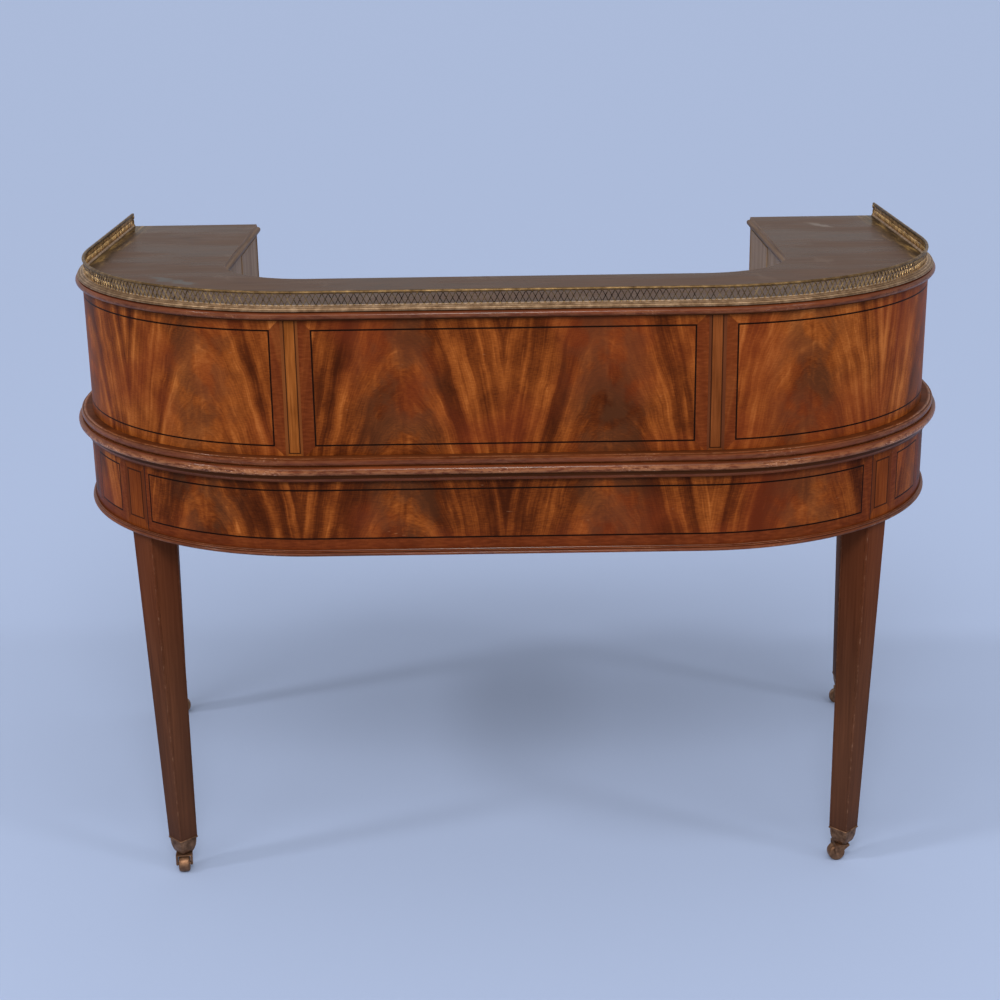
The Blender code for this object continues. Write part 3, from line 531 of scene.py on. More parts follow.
def tooled_leather(name, half_x, low_y, high_y):
    """Green hide with a pebbled grain and two gilt lines with a row of small lozenges round the edge."""
    f = Finish(name)
    place = f.place()
    x, y, _ = f.split(place)
    inside = f.least(half_x - abs(x), f.least(y - low_y, high_y - y))
    pebble = f.node("ShaderNodeTexVoronoi", feature="DISTANCE_TO_EDGE")
    f.feed(pebble.inputs["Vector"], place)
    pebble.inputs["Scale"].default_value = 620.0
    wear = f.noise(place, 4, 0.6, 7)
    colour = f.ramp(wear, (0.34, (24, 44, 30)), (0.52, (36, 62, 42)), (0.7, (62, 84, 56)))
    wave = abs(f.math("FRACT", (x + y) * 90) - 0.5)
    lozenge = wave + abs(inside - 0.0285) * 160 < 0.42
    lines = f.most(abs(inside - 0.024) < 0.0006, abs(inside - 0.033) < 0.0006)
    gilt = f.most(lozenge, lines) * f.span(f.noise(place, scale=160), 0.36, 0.52)
    colour = f.mix(gilt, colour, (176, 142, 72))
    f.bump(f.least(Value(f, pebble.outputs["Distance"]) * 300, 0.3), 0.0002)
    return f.surface(colour, f.span(gilt, 0.0, 1.0, 0.52, 0.34), ior=1.4)


# The ends' copy is made lighter than the stage's, as painted light on the curved ends, and the frieze's copy darker, as
# painted shade under the table's overhang
STAGE_FLAME = flame_veneer("flame_veneer_stage", 0.0, -0.02)
END_FLAME = flame_veneer("flame_veneer_ends", 0.0, 0.06)
FRIEZE_FLAME = flame_veneer("flame_veneer_frieze", 1.3, -0.065, 0.0)
PILASTER_WOOD = {
    "left": straight_veneer("pilaster_veneer_left", (112, 58, 20), (164, 95, 42), (112, 60, 30)),
    "right": straight_veneer("pilaster_veneer_right", (96, 48, 20), (140, 76, 36), (88, 46, 28)),
}
STILE_WOOD = straight_veneer("stile_veneer", (96, 42, 14), (140, 70, 26), (90, 42, 20))
UPRIGHT = plain_wood("mahogany_upright", "z", (72, 32, 14), (126, 66, 32))
# A darker, greyer mahogany that stands for painted shade on the wing partitions
SHADED = plain_wood("mahogany_shaded", "z", (58, 36, 26), (98, 66, 50), coat=0.15)
LENGTHWISE = plain_wood("mahogany_lengthwise", "x", (66, 30, 18), (112, 58, 36))
CROSSWISE = plain_wood("mahogany_crosswise", "y", (66, 32, 20), (110, 60, 40))
WELL_WOOD = plain_wood("well_side_wood", "z", (118, 92, 70), (162, 132, 104))
WELL_NOSE = plain_wood("well_nose_wood", "y", (82, 62, 48), (120, 94, 74), coat=0.0)
JOINT_GRIME = plain_wood("joint_grime", "z", (20, 10, 6), (44, 22, 13), coat=0.0)
LINING = plain_wood("oak_lining_pale", "y", (120, 88, 56), (168, 132, 90), rough=(0.6, 0.7), coat=0.0)
LEG_WOOD = leg_wood("leg_mahogany", (66, 36, 22), (112, 66, 42), (164, 124, 98))
NOSING = moulding_wood("worn_nosing", (72, 31, 13), (124, 60, 27), (186, 122, 78))
TOP = board_top("dulled_top")
GALLERY_BRASS = old_brass("gallery_brass", (70, 50, 28), (160, 128, 84), rough=0.36)
RAIL_BRASS = old_brass("base_rail_brass", (104, 77, 53), (190, 158, 124))
LATTICE_BRONZE = old_brass("lattice_bronze", (44, 31, 20), (196, 160, 108), rough=0.34)
STUD_BRASS = old_brass("stud_brass", (150, 118, 66), (214, 180, 116), 200.0, 0.28)
CASTOR_BRASS = old_brass("castor_brass", (86, 60, 44), (170, 128, 96), 120.0, 0.42)
KNOB_BRASS = old_brass("knob_brass", (96, 72, 38), (196, 158, 92), 140.0, 0.3)
LEATHER = tooled_leather("tooled_green_leather", 0.4, -0.11, 0.35)

NODE_FINISHES = {
    "back_panel": UPRIGHT, "end_panel": UPRIGHT, "pilaster": UPRIGHT, "frieze_back": LENGTHWISE,
    "frieze_left": CROSSWISE, "frieze_right": CROSSWISE, "drawer_rail": LENGTHWISE, "drawer_divider": CROSSWISE,
    "wing_partition": SHADED, "wing_front": UPRIGHT, "corner_door": UPRIGHT, "pigeonhole_case": CROSSWISE,
    "frieze_drawer_front": LENGTHWISE, "frieze_drawer_box": LINING, "small_drawer": LINING, "wing_drawer": LINING,
}


def paint_nodes():
    """Gives each shown solid of the frame a wood of its own."""
    for name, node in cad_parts.items():
        for start, material in NODE_FINISHES.items():
            if name.startswith(start):
                for socket in node.material_slots:
                    socket.material = material


# Veneered faces

# Rows of points in a sheet's height, and how far its back lies inside the board
SHEET_ROWS = 9
SHEET_BACK = 0.0006
# The string's rectangle of a sheet that has no string
FAR_AWAY = (-9, 9, -9, 9)
# Heights of the string lines: low and high
STAGE_STRING = (0.768, 0.9395)
FRIEZE_STRING = (0.6257, 0.7008)
WELL_STRING = (0.77, 0.938)


def veneer_sheet(name, place, across, upright, field, material, body="desk", slot="figured_mahogany", offset=0.0,
                 proud=0.0003, half=0.0012, columns=0.012, shift=0.0, plain_below=0.0):
    """A thin sheet over a board, from across[0] to across[1] and upright[0] to upright[1].

    field is (first s, last s, low z, high z) of the string's rectangle. The distances to it go into two attributes,
    with the string's half width and whether the strip below it is plain.
    """
    s = stations(*sorted(across), columns)
    z = np.linspace(*upright, SHEET_ROWS)
    grid_s, grid_z = (np.tile(grid.ravel(), 2) for grid in np.meshgrid(s, z, indexing="ij"))
    count = len(s) * len(z)
    x, y = place(grid_s, np.repeat([offset + proud, offset - SHEET_BACK], count))
    front, i, j = wrap_faces(len(s), len(z))
    index = np.arange(count).reshape(len(s), len(z))
    border = np.concatenate([index[0, :-1], index[:-1, -1], index[-1, :0:-1], index[:0:-1, 0]])
    after = np.roll(border, -1)
    rim = np.stack([border, after, after, border], -1)
    faces = np.concatenate([front, front[:, ::-1] + count, rim + (0, 0, count, count)])
    corner_i = np.concatenate([i, i[:, ::-1], rim // len(z)]).ravel()
    corner_j = np.concatenate([j, j[:, ::-1], rim % len(z)]).ravel()
    uv = np.stack([s[corner_i] + shift, z[corner_j]], -1)
    first, last, low, high = field
    values = {
        "across": np.stack([grid_s - first, last - grid_s, np.full(2 * count, half)], -1),
        "upright": np.stack([grid_z - low, high - grid_z, np.full(2 * count, plain_below)], -1),
    }
    make_piece(name, np.stack([x, y, grid_z], -1), faces, [material], body, slot, uv=uv, values=values)


def stage_veneers():
    """Panels and pilasters round the stage."""
    upright = (STAGE_LOW, STAGE_TOP)
    inner, outer = PILASTER
    stage = {"offset": STAGE_OFFSET, "shift": -STAGE_SHIFT}
    veneer_sheet("back_panel_veneer", plan, (STAGE_SHIFT - inner, STAGE_SHIFT + inner), upright,
                 (-0.282, 0.2715, *STAGE_STRING), STAGE_FLAME, **stage)
    end = depth_to_run(STAGE_FRONT)
    for name, side in SIDES.items():
        field = sorted((STAGE_SHIFT + side * 0.3388, side * (end - 0.018)))
        veneer_sheet(f"end_panel_veneer_{name}", plan, (STAGE_SHIFT + side * outer, side * end), upright,
                     (*field, *STAGE_STRING), END_FLAME, **stage)
        field = sorted((STAGE_SHIFT + side * 0.3, STAGE_SHIFT + side * 0.3161))
        across = (STAGE_SHIFT + side * inner, STAGE_SHIFT + side * outer)
        veneer_sheet(f"pilaster_veneer_{name}", plan, across, upright, (*field, 0.7565, 0.96), PILASTER_WOOD[name],
                     slot="mahogany", offset=STAGE_OFFSET, proud=0.0005, half=0.0009)


def frieze_veneers():
    """The long back board, then on each side an open joint, the leg's stile and two side boards."""
    upright = (FRIEZE_LOW + 0.01, FRIEZE_TOP)
    joint = turn_to_run(41.75)
    field = (FRIEZE_SHIFT - turn_to_run(39.5), FRIEZE_SHIFT + turn_to_run(39.5))
    veneer_sheet("back_frieze_veneer", plan, (-joint, joint), upright, (*field, *FRIEZE_STRING), FRIEZE_FLAME,
                 shift=-FRIEZE_SHIFT, plain_below=1.0)
    boards = {
        "leg_stile": (turn_to_run(41.82), turn_to_run(49.23), turn_to_run(43.2), turn_to_run(48.1), None),
        "small_frieze": (turn_to_run(49.3), turn_to_run(66.4), turn_to_run(52.0), turn_to_run(64.0), END_FLAME),
        "side_frieze": (turn_to_run(66.46), depth_to_run(FRONT_Y - 0.0534), turn_to_run(69.0),
                        depth_to_run(FRONT_Y - 0.07), FRIEZE_FLAME),
    }
    for name, side in SIDES.items():
        veneer_sheet(f"frieze_joint_{name}", plan, (side * (joint - 0.0006), side * (joint + 0.001)), upright,
                     FAR_AWAY, JOINT_GRIME, slot="mahogany", proud=0.0004, columns=0.0008)
        for board, (start, stop, first, last, flame) in boards.items():
            veneer_sheet(f"{board}_veneer_{name}", plan, (side * start, side * stop), upright,
                         (*sorted((side * first, side * last)), *FRIEZE_STRING), flame or STILE_WOOD,
                         shift=-FRIEZE_SHIFT, plain_below=1.0 if flame else 0.0)


def well_veneers():
    """Plain upright veneer on the wings' inner faces, and flame veneer on the wing fronts and the curved doors."""
    door = WELL_RADIUS * math.radians(83)
    for name, side in SIDES.items():
        place = flat_place((side * WELL_X, 0.0), (0, 1), (-side, 0))
        veneer_sheet(f"wing_face_veneer_{name}", place, (-0.0184, WING_STEP), (STAGE_LOW, STAGE_TOP),
                     (0.0, 0.142, *WELL_STRING), WELL_WOOD, slot="mahogany", half=0.0008, columns=0.05)
        place = flat_place((side * 0.564, STAGE_FRONT), (-side, 0), (0, 1))
        veneer_sheet(f"wing_end_veneer_{name}", place, (-0.121, 0.1088), (STAGE_LOW, STAGE_TOP),
                     (-0.106, 0.094, *STAGE_STRING), STAGE_FLAME, half=0.0011, columns=0.05,
                     shift=FIGURE_PERIOD / 2)
        veneer_sheet(f"corner_door_veneer_{name}", well_corner(side), (0.0, door),
                     (STAGE_LOW + 0.0004, STAGE_TOP - 0.0006), (0.014, door - 0.014, *WELL_STRING), STAGE_FLAME,
                     f"corner_door_{name}", half=0.0008, columns=0.008, shift=0.045)


# Mouldings: each row of a profile is (offset, z, wear, grime).
# Grime darkens a row as dirt and as painted shade in grooves and under noses.


def ring_board(name, base, lean, run, rows, materials, slot, *nodes, cap=0, well=0):
    """A board whose edge is a moulding: closed rings of base + offset x lean at each row's height.

    The first and last rings are filled with one face each. The last so many places of the base lie in the well,
    and have the last material and full grime, which makes them dark and dull.
    """
    rows = np.array(rows, float)
    count = len(base)
    ring = base[None] + rows[:, 0, None, None] * lean[None]
    z = np.broadcast_to(rows[:, 1, None, None], (len(rows), count, 1))
    points = np.concatenate([ring, z], -1).reshape(-1, 3)
    faces, i, j = tube_faces(len(rows), count, backward=True)
    along = np.concatenate([[0], np.cumsum(np.hypot(*np.diff(rows[:, :2], axis=0).T))])
    reach = np.concatenate([run, [run[-1] + np.hypot(*(base[0] - base[-1]))]])
    uv = np.stack([reach[j], along[i]], -1).reshape(-1, 2)
    uv = np.concatenate([uv, points[list(faces[-2] + faces[-1]), :2]])
    in_well = np.arange(count) >= count - well
    slots = np.where(in_well, len(materials) - 1, 0).tolist() * (len(rows) - 1) + [cap, cap]
    grime_and_shade = np.clip(rows[:, 3, None] + in_well, 0, 1)
    values = {"wear": np.repeat(rows[:, 2], count), "grime_and_shade": grime_and_shade.ravel()}
    make_piece(name, points, faces, materials, "desk", slot, *nodes, uv=uv, slots=slots, values=values)


def swept(name, base, lean, run, rows, material, slot, *nodes, sharp=35):
    """A closed profile carried along an open course, with a face at each end."""
    rows = np.array(rows, float)
    count = len(rows)
    ring = base[:, None] + rows[None, :, 0, None] * lean[:, None]
    z = np.broadcast_to(rows[None, :, 1, None], (len(base), count, 1))
    points = np.concatenate([ring, z], -1).reshape(-1, 3)
    faces, i, j = tube_faces(len(base), count)
    closed = np.concatenate([rows[:, :2], rows[:1, :2]])
    along = np.concatenate([[0], np.cumsum(np.hypot(*np.diff(closed, axis=0).T))])
    uv = np.stack([run[i], along[j]], -1).reshape(-1, 2)
    uv = np.concatenate([uv, rows[::-1, :2], rows[:, :2]])
    values = {"wear": np.tile(rows[:, 2], len(base)), "grime_and_shade": np.tile(rows[:, 3], len(base))}
    make_piece(name, points, faces, [material], "desk", slot, *nodes, uv=uv, values=values, sharp=sharp)


def round_back(front, steps=44):
    """The open plan from the right front round the back to the left front: points, outward leans and runs."""
    turn = CORNER_X + CORNER_RUN
    half = stations(0, CORNER_X, 0.05)
    arc = np.linspace(CORNER_X, turn, steps + 1)[1:]
    side = stations(turn, depth_to_run(front), 0.05)[1:]
    right = np.concatenate([half, arc, side])
    s = np.concatenate([right[::-1], -right[1:]])
    base = np.stack(plan(s, 0.0), -1)
    return base, np.stack(plan(s, 1.0), -1) - base, -s


def rounded_plan(front):
    """The closed plan of the table: round the back, then along the front edge with mitred corners."""
    base, lean, run = round_back(front)
    lean[0] = (1, 1)
    lean[-1] = (-1, 1)
    x = np.linspace(-HALF_WIDTH, HALF_WIDTH, 13)[1:-1]
    base = np.concatenate([base, np.stack([x, np.full_like(x, front)], -1)])
    lean = np.concatenate([lean, np.tile([0.0, 1.0], (len(x), 1))])
    return base, lean, np.concatenate([run, run[-1] + x + HALF_WIDTH])


def stage_plan(outset, front, well_share):
    """The closed U-shaped plan: round the outside, then back round the well, whose leans point into it.

    It also gives the number of places in the well.
    """
    base, lean, run = round_back(front)
    base = base + outset * lean
    lean[0] = (1, 1)
    lean[-1] = (-1, 1)
    turns = np.linspace(0, math.pi / 2, 19)
    toward = np.stack([-np.cos(turns), np.sin(turns)], -1)
    arc = WELL_CENTRE - WELL_RADIUS * toward
    y = np.linspace(front, WELL_CENTRE[1], 8)[:-1]
    straight = np.stack([np.full_like(y, WELL_X), y], -1)
    inward = np.tile([-1.0, 0.0], (len(y), 1))
    inward[0] = (-1, 1 / well_share)
    right = np.concatenate([straight, arc])
    right_lean = np.concatenate([inward, toward]) * well_share
    x = np.linspace(WELL_CENTRE[0], -WELL_CENTRE[0], 8)[1:-1]
    flat = np.stack([x, np.full_like(x, WELL_BACK)], -1)
    flat_lean = np.tile([0.0, well_share], (len(x), 1))
    well = np.concatenate([right, flat, right[::-1] * (-1, 1)])[::-1]
    well_lean = np.concatenate([right_lean, flat_lean, right_lean[::-1] * (-1, 1)])[::-1]
    gaps = np.hypot(*np.diff(np.concatenate([base[-1:], well]), axis=0).T)
    run = np.concatenate([run, run[-1] + np.cumsum(gaps)])
    return np.concatenate([base, well]), np.concatenate([lean, well_lean]), run, len(well)


def half_round(proud, middle, radius_z, radius_out, start=-90, end=90, steps=10, wear=1.0):
    """Rows of a rounded nose: offset = proud - r + r cos a, z = middle + rz sin a, worn most at its front."""
    angles = np.radians(np.linspace(start, end, steps + 1))
    offset = proud - radius_out + radius_out * np.cos(angles)
    worn = wear * np.clip(np.cos(angles + 0.35), 0, 1) ** 2
    return [(o, z, w, 0.0) for o, z, w in zip(offset, middle + radius_z * np.sin(angles), worn)]


def make_boards():
    """The table top, the moulded base of the stage and the stage's own top, each with its edge moulding."""
    # The fourth number of each row is dirt and painted shade: darkest on the underside and in the groove under the nose
    rows = [(0.0, TABLE_LOW, 0, 1), (0.007, TABLE_LOW, 0, 0.9), (0.008, TABLE_LOW + 0.0008, 0, 0.2)]
    rows += [(0.008, 0.72, 0.2, 0), (0.009, 0.7215, 0, 0.7), (0.012, 0.725, 0, 0.8), (0.0135, 0.7272, 0, 1)]
    rows += half_round(0.019, 0.7338, 0.0062, 0.005, steps=12)
    rows += [(0.0128, TABLE_TOP, 0.2, 0.35), (0.01, TABLE_TOP, 0.5, 0.1), (0.0, TABLE_TOP, 0, 0.3)]
    ring_board("table_board", *rounded_plan(FRONT_Y), rows, [NOSING, TOP], "figured_mahogany", "table_top", cap=1)

    # The fourth number is dirt and painted shade: darkest on the underside and in the grooves beside the bead
    rows = [(-0.004, BASE_LOW, 0, 0.8), (0.005, BASE_LOW, 0, 0.8), (0.0056, 0.7412, 0, 0.3), (0.005, 0.7418, 0, 0.9)]
    rows += [(0.0064, 0.7424, 0.2, 0), (0.0072, 0.7446, 0.2, 0), (0.0075, 0.7475, 0.2, 0), (0.007, 0.7496, 0.2, 0)]
    rows += [(0.0056, 0.7508, 0.1, 0), (0.004, 0.7512, 0, 0.8), (0.0034, 0.752, 0.6, 0), (0.001, BASE_TOP, 0.3, 0.2)]
    rows += [(-0.001, BASE_TOP, 0, 0.5)]
    course = stage_plan(0.006, STAGE_FRONT + 0.006, 0.02)
    ring_board("stage_base_moulding", *course[:3], rows, [NOSING], "mahogany", "stage_base")

    # The fourth number is dirt and painted shade: darkest under the board and in the grooves beside the nose
    rows = [(-0.003, BOARD_LOW, 0, 1), (0.0, BOARD_LOW + 0.0006, 0, 1), (0.0008, 0.9564, 0, 0.9)]
    rows += half_round(0.0069, 0.9615, 0.005, 0.0048, steps=12, wear=0.3)
    rows += [(0.0016, 0.9668, 0, 0.8), (0.0003, 0.969, 0, 0.4), (0.0, BOARD_TOP - 0.0006, 0.3, 0)]
    rows += [(-0.0008, BOARD_TOP, 0.2, 0)]
    *course, well = stage_plan(-0.0012, BOARD_FRONT, 0.8)
    ring_board("stage_board", *course, rows, [NOSING, TOP, WELL_NOSE], "figured_mahogany", "stage_top", cap=1,
               well=well)


def make_bead():
    """The bead round the bottom of the frieze: two fine reeds over a half round, mitred at the front legs."""
    base, lean, run = rounded_plan(FRONT_Y)
    base, lean = (np.concatenate([course, course[:1]]) for course in (base, lean))
    run = np.concatenate([run, [run[-1] + 0.106]])
    # The fourth number is dirt and painted shade: darkest under the bead and in the grooves between the reeds
    rows = [(-0.0006, 0.5992, 0, 1), (0.0022, 0.5992, 0, 0.8)]
    rows += half_round(0.0062, 0.602, 0.0028, 0.0032, -80, 70, 7, 0.3) + [(0.0036, 0.6052, 0, 1)]
    rows += half_round(0.0052, 0.6064, 0.001, 0.0014, -60, 80, 4, 0.4) + [(0.0028, 0.6078, 0, 1)]
    rows += half_round(0.004, 0.6085, 0.0007, 0.0012, -50, 90, 3, 0.5) + [(-0.0006, 0.609, 0, 1)]
    swept("frieze_bead_moulding", base, lean, run, rows, NOSING, "mahogany", "frieze_bead")


def make_leather():
    """The writing leather, with a soft rounded edge where it meets the wood."""
    base = np.array([(0.3997, 0.3497), (-0.3997, 0.3497), (-0.3997, -0.1097), (0.3997, -0.1097)])
    lean = np.array([(1, 1), (-1, 1), (-1, -1), (1, -1)], float)
    run = np.array([0, 0.8, 1.26, 2.06])
    rows = [(0.0, 0.739, 0, 0), (0.0, 0.74, 0, 0), (-0.0004, 0.74025, 0, 0), (-0.0012, 0.7403, 0, 0)]
    ring_board("leather_panel", base, lean, run, rows, [LEATHER], "green_leather", "writing_leather")


# Gallery

GALLERY_FRONT = 0.379
GALLERY_MIDDLE = -0.0093
LATTICE_LOW, LATTICE_TOP = 0.9755, GALLERY_TOP - 0.004
LATTICE_CELL = 0.0091
BAR_HALF, BAR_DEPTH = 0.00055, 0.0008


def make_gallery():
    """A base rail that laps over the board's edge, a studded lattice, a top rail, and a post and a roll at each end."""
    course = round_back(GALLERY_FRONT, 88)
    # The third number of each row is painted highlight and shade: paler on the lip and the ledges, darker in the inner
    # corners
    rows = [(-0.0128, GALLERY_LOW, 0, 0), (-0.0008, GALLERY_LOW, 0, 0), (-0.0004, 0.971, 0, 0), (0.0006, 0.9682, 0, 0)]
    rows += [(0.002, 0.9681, -0.3, 0), (0.0024, 0.9692, 0.3, 0), (0.0014, 0.97, -0.5, 0), (0.0012, 0.9712, 0.1, 0)]
    rows += [(0.0002, 0.9724, 0.2, 0), (-0.001, 0.9727, -0.6, 0), (-0.0018, 0.9735, 0.1, 0), (-0.004, 0.974, 0.5, 0)]
    rows += [(-0.0048, 0.9742, -0.6, 0), (-0.0056, 0.9751, 0.1, 0), (-0.0074, 0.9758, 0.6, 0)]
    rows += [(-0.0108, 0.9758, 0.3, 0), (-0.012, 0.9748, 0.1, 0), (-0.0128, 0.9738, 0, 0)]
    swept("gallery_base_rail", *course, rows, RAIL_BRASS, "aged_brass", "gallery", sharp=25)
    turns = [(math.cos(t), math.sin(t)) for t in np.radians(np.arange(0, 360, 30))]
    # Brighter on the rail's outer side and darker on its inner side: painted light and shade
    rows = [(GALLERY_MIDDLE + 0.0025 * c, GALLERY_TOP - 0.0023 + 0.0023 * s, 0.2 * c - 0.08, 0) for c, s in turns]
    swept("gallery_top_rail", *course, rows, GALLERY_BRASS, "aged_brass", sharp=50)
    end = depth_to_run(GALLERY_FRONT) - 0.004
    feet = np.linspace(-end, end, round(2 * end / LATTICE_CELL) + 1)
    make_lattice(feet)
    make_studs(feet)
    make_scrolls()


def make_lattice(feet):
    """Two sets of flat bars, each from one foot to the next head, with painted highlight that makes them paler round
    the corners.
    """
    starts = np.concatenate([feet[:-1], feet[1:]])
    ends = np.concatenate([feet[1:], feet[:-1]])
    slant = np.stack([ends - starts, np.full(len(starts), LATTICE_TOP - LATTICE_LOW)], -1)
    across = np.stack([-slant[:, 1], slant[:, 0]], -1) / np.hypot(*slant.T)[:, None] * BAR_HALF
    a = np.stack([starts, np.full(len(starts), LATTICE_LOW)], -1)
    b = a + slant
    outline = np.stack([a - across, b - across, b + across, a + across], 1)
    outline = np.concatenate([outline, outline], 1)
    depth = GALLERY_MIDDLE + BAR_DEPTH * np.repeat([1, -1], 4)
    points = np.stack([*plan(outline[..., 0], depth), outline[..., 1]], -1).reshape(-1, 3)
    block = np.array([[0, 1, 2, 3], [7, 6, 5, 4], [0, 4, 5, 1], [1, 5, 6, 2], [2, 6, 7, 3], [3, 7, 4, 0]])
    faces = (np.arange(len(starts))[:, None, None] * 8 + block).reshape(-1, 4)
    # Painted highlight and shade: darker across the back, paler round the corners and along the arms
    wear = np.interp(np.abs(outline[..., 0]), (0.22, 0.42), (-0.35, 0.3)).ravel()
    make_piece("gallery_lattice", points, faces, [LATTICE_BRONZE], "desk", "aged_brass", values={"wear": wear}, sharp=0)


def make_studs(feet, radius=0.001):
    """Small six-sided domes over each foot and head of the lattice, of two rings and a crown."""
    centres = np.stack([np.tile(feet, 2), np.repeat([LATTICE_LOW, LATTICE_TOP], len(feet))], -1)
    around = np.radians(np.arange(0, 360, 60))
    reach = np.concatenate([np.full(6, radius), np.full(6, radius * 0.8), [0.0]])
    turn = np.concatenate([around, around, [0.0]])
    depth = GALLERY_MIDDLE + BAR_DEPTH + radius * np.repeat([0.0, 0.6, 0.9], (6, 6, 1))
    x, y = plan(centres[:, :1] + reach * np.cos(turn), depth)
    z = centres[:, 1:] + reach * np.sin(turn)
    points = np.stack([x, y, z], -1).reshape(-1, 3)
    dome = [(i, (i + 1) % 6, (i + 1) % 6 + 6, i + 6) for i in range(6)]
    dome += [(i + 6, (i + 1) % 6 + 6, 12) for i in range(6)] + [(5, 4, 3, 2, 1, 0)]
    faces = [tuple(start + v for v in face) for start in range(0, len(points), 13) for face in dome]
    make_piece("gallery_studs", points, faces, [STUD_BRASS], "desk", "aged_brass", sharp=80)


def make_scrolls():
    """A small turned post with a rolled top at each end of the gallery."""
    post = [(0, 0), (0.0034, 0), (0.0034, 0.003), (0.0022, 0.005), (0.0026, 0.009), (0.0018, 0.013), (0.003, 0.017)]
    roll = [(0, -0.003), (0.003, -0.003), (0.0037, -0.0018), (0.0037, 0.0018), (0.003, 0.003), (0, 0.003)]
    for name, side in SIDES.items():
        x = side * (HALF_WIDTH + GALLERY_MIDDLE)
        revolved(f"gallery_post_{name}", post + [(0, 0.018)], (x, GALLERY_FRONT - 0.003, GALLERY_LOW), (0, 0, 1),
                 GALLERY_BRASS, "desk", "aged_brass", steps=16)
        revolved(f"gallery_scroll_{name}", roll, (x, GALLERY_FRONT - 0.0036, GALLERY_TOP - 0.0065), (1, 0, 0),
                 GALLERY_BRASS, "desk", "aged_brass", steps=20, wear=0.6)


def revolved(name, profile, centre, axis, material, body, slot, *nodes, steps=32, wear=0.4):
    """A profile of (radius, height) turned round an axis: centre + h a + r (u cos t + v sin t).

    It is closed by a point at each end where the profile starts and ends on the axis, and otherwise onto itself.
    """
    rows = np.array(profile, float)
    axis = np.array(axis, float)
    u = np.cross((0, 0, 1) if abs(axis[2]) < 0.9 else (1, 0, 0), axis)
    u /= np.linalg.norm(u)
    v = np.cross(axis, u)
    turns = np.linspace(0, 2 * math.pi, steps, endpoint=False)
    spoke = np.cos(turns)[:, None] * u + np.sin(turns)[:, None] * v
    pointed = rows[0, 0] == 0
    inner = rows[1:-1] if pointed else rows
    points = (np.array(centre) + inner[:, None, 1, None] * axis + inner[:, None, 0, None] * spoke).reshape(-1, 3)
    faces, _, _ = wrap_faces(len(inner), steps, close_rows=not pointed, close_columns=True)
    polygons = [*faces]
    if pointed:
        tip = len(points)
        last = tip - steps
        points = np.concatenate([points, np.array(centre) + rows[[0, -1], 1, None] * axis])
        polygons += [(tip, (k + 1) % steps, k) for k in range(steps)]
        polygons += [(tip + 1, last + k, last + (k + 1) % steps) for k in range(steps)]
    values = {"wear": np.full(len(points), wear)}
    make_piece(name, points, polygons, [material], body, slot, *nodes, values=values, sharp=40)


# Legs and castors


def rounded_square(half, radius, corner_points=4):
    """A square outline with quarter-circle corners, anticlockwise from the +X +Y corner."""
    angles = np.radians(np.linspace(0, 90, corner_points))
    quarter = half - radius + radius * np.stack([np.cos(angles), np.sin(angles)], -1)
    turns = [np.array([[math.cos(t), -math.sin(t)], [math.sin(t), math.cos(t)]]) for t in np.radians([0, 90, 180, 270])]
    return np.concatenate([quarter @ turn.T for turn in turns])


def square_loft(name, foot, turn, sections, material, slot, *nodes, sharp=35):
    """Rounded squares (z, half width, corner radius, shift along Y) joined into a bar that stands on a foot.

    u runs round the bar from arris to arris, with a whole number on each, and v is the height.
    """
    outline = rounded_square(*sections[0][1:3])
    count = len(outline)
    rings = np.array([rounded_square(half, radius) + (0, shift) for _, half, radius, shift in sections])
    z = np.array([section[0] for section in sections])
    points = np.concatenate([rings, np.broadcast_to(z[:, None, None], (len(z), count, 1))], -1).reshape(-1, 3)
    cos, sin = math.cos(math.radians(turn)), math.sin(math.radians(turn))
    points = points @ np.array([[cos, sin, 0], [-sin, cos, 0], [0, 0, 1]]) + (*foot, 0)
    faces, i, j = tube_faces(len(z), count, backward=True)
    reach = np.concatenate([[0], np.cumsum(np.hypot(*(np.roll(outline, -1, axis=0) - outline).T))])
    around = (reach - reach[count // 4 - 1] / 2) / reach[-1] * 4
    uv = np.concatenate([np.stack([around[j], z[i]], -1).reshape(-1, 2), np.zeros((2 * count, 2))])
    make_piece(name, points, faces, [material], "desk", slot, *nodes, uv=uv, sharp=sharp)


def make_legs():
    """Four legs with their sockets: each tapers down from a square block inside the frieze."""
    for name, (x, y, turn, inset) in LEG_FEET.items():
        sections = [(0.0579, 0.015, 0.001, 0), (LEG_LOW, 0.0166, 0.001, 0)]
        for z in np.linspace(LEG_LOW + 0.0003, FRIEZE_LOW - 0.0003, 12):
            share = (z - LEG_LOW) / LEG_LENGTH
            sections.append((z, LEG_FOOT_HALF + (LEG_TOP_HALF - LEG_FOOT_HALF) * share, 0.0011, -inset * share))
        sections += [(z, BLOCK_HALF, 0.0008, -inset) for z in (FRIEZE_LOW, FRIEZE_TOP)]
        square_loft(f"leg_bar_{name}", (x, y), turn, sections, LEG_WOOD, "mahogany", f"leg_{name}")
        square_loft(f"socket_cup_{name}", (x, y), turn, SOCKET_CUP, CASTOR_BRASS, "dark_brass", f"socket_{name}",
                    sharp=60)
        make_castor(name, (x, y, 0))


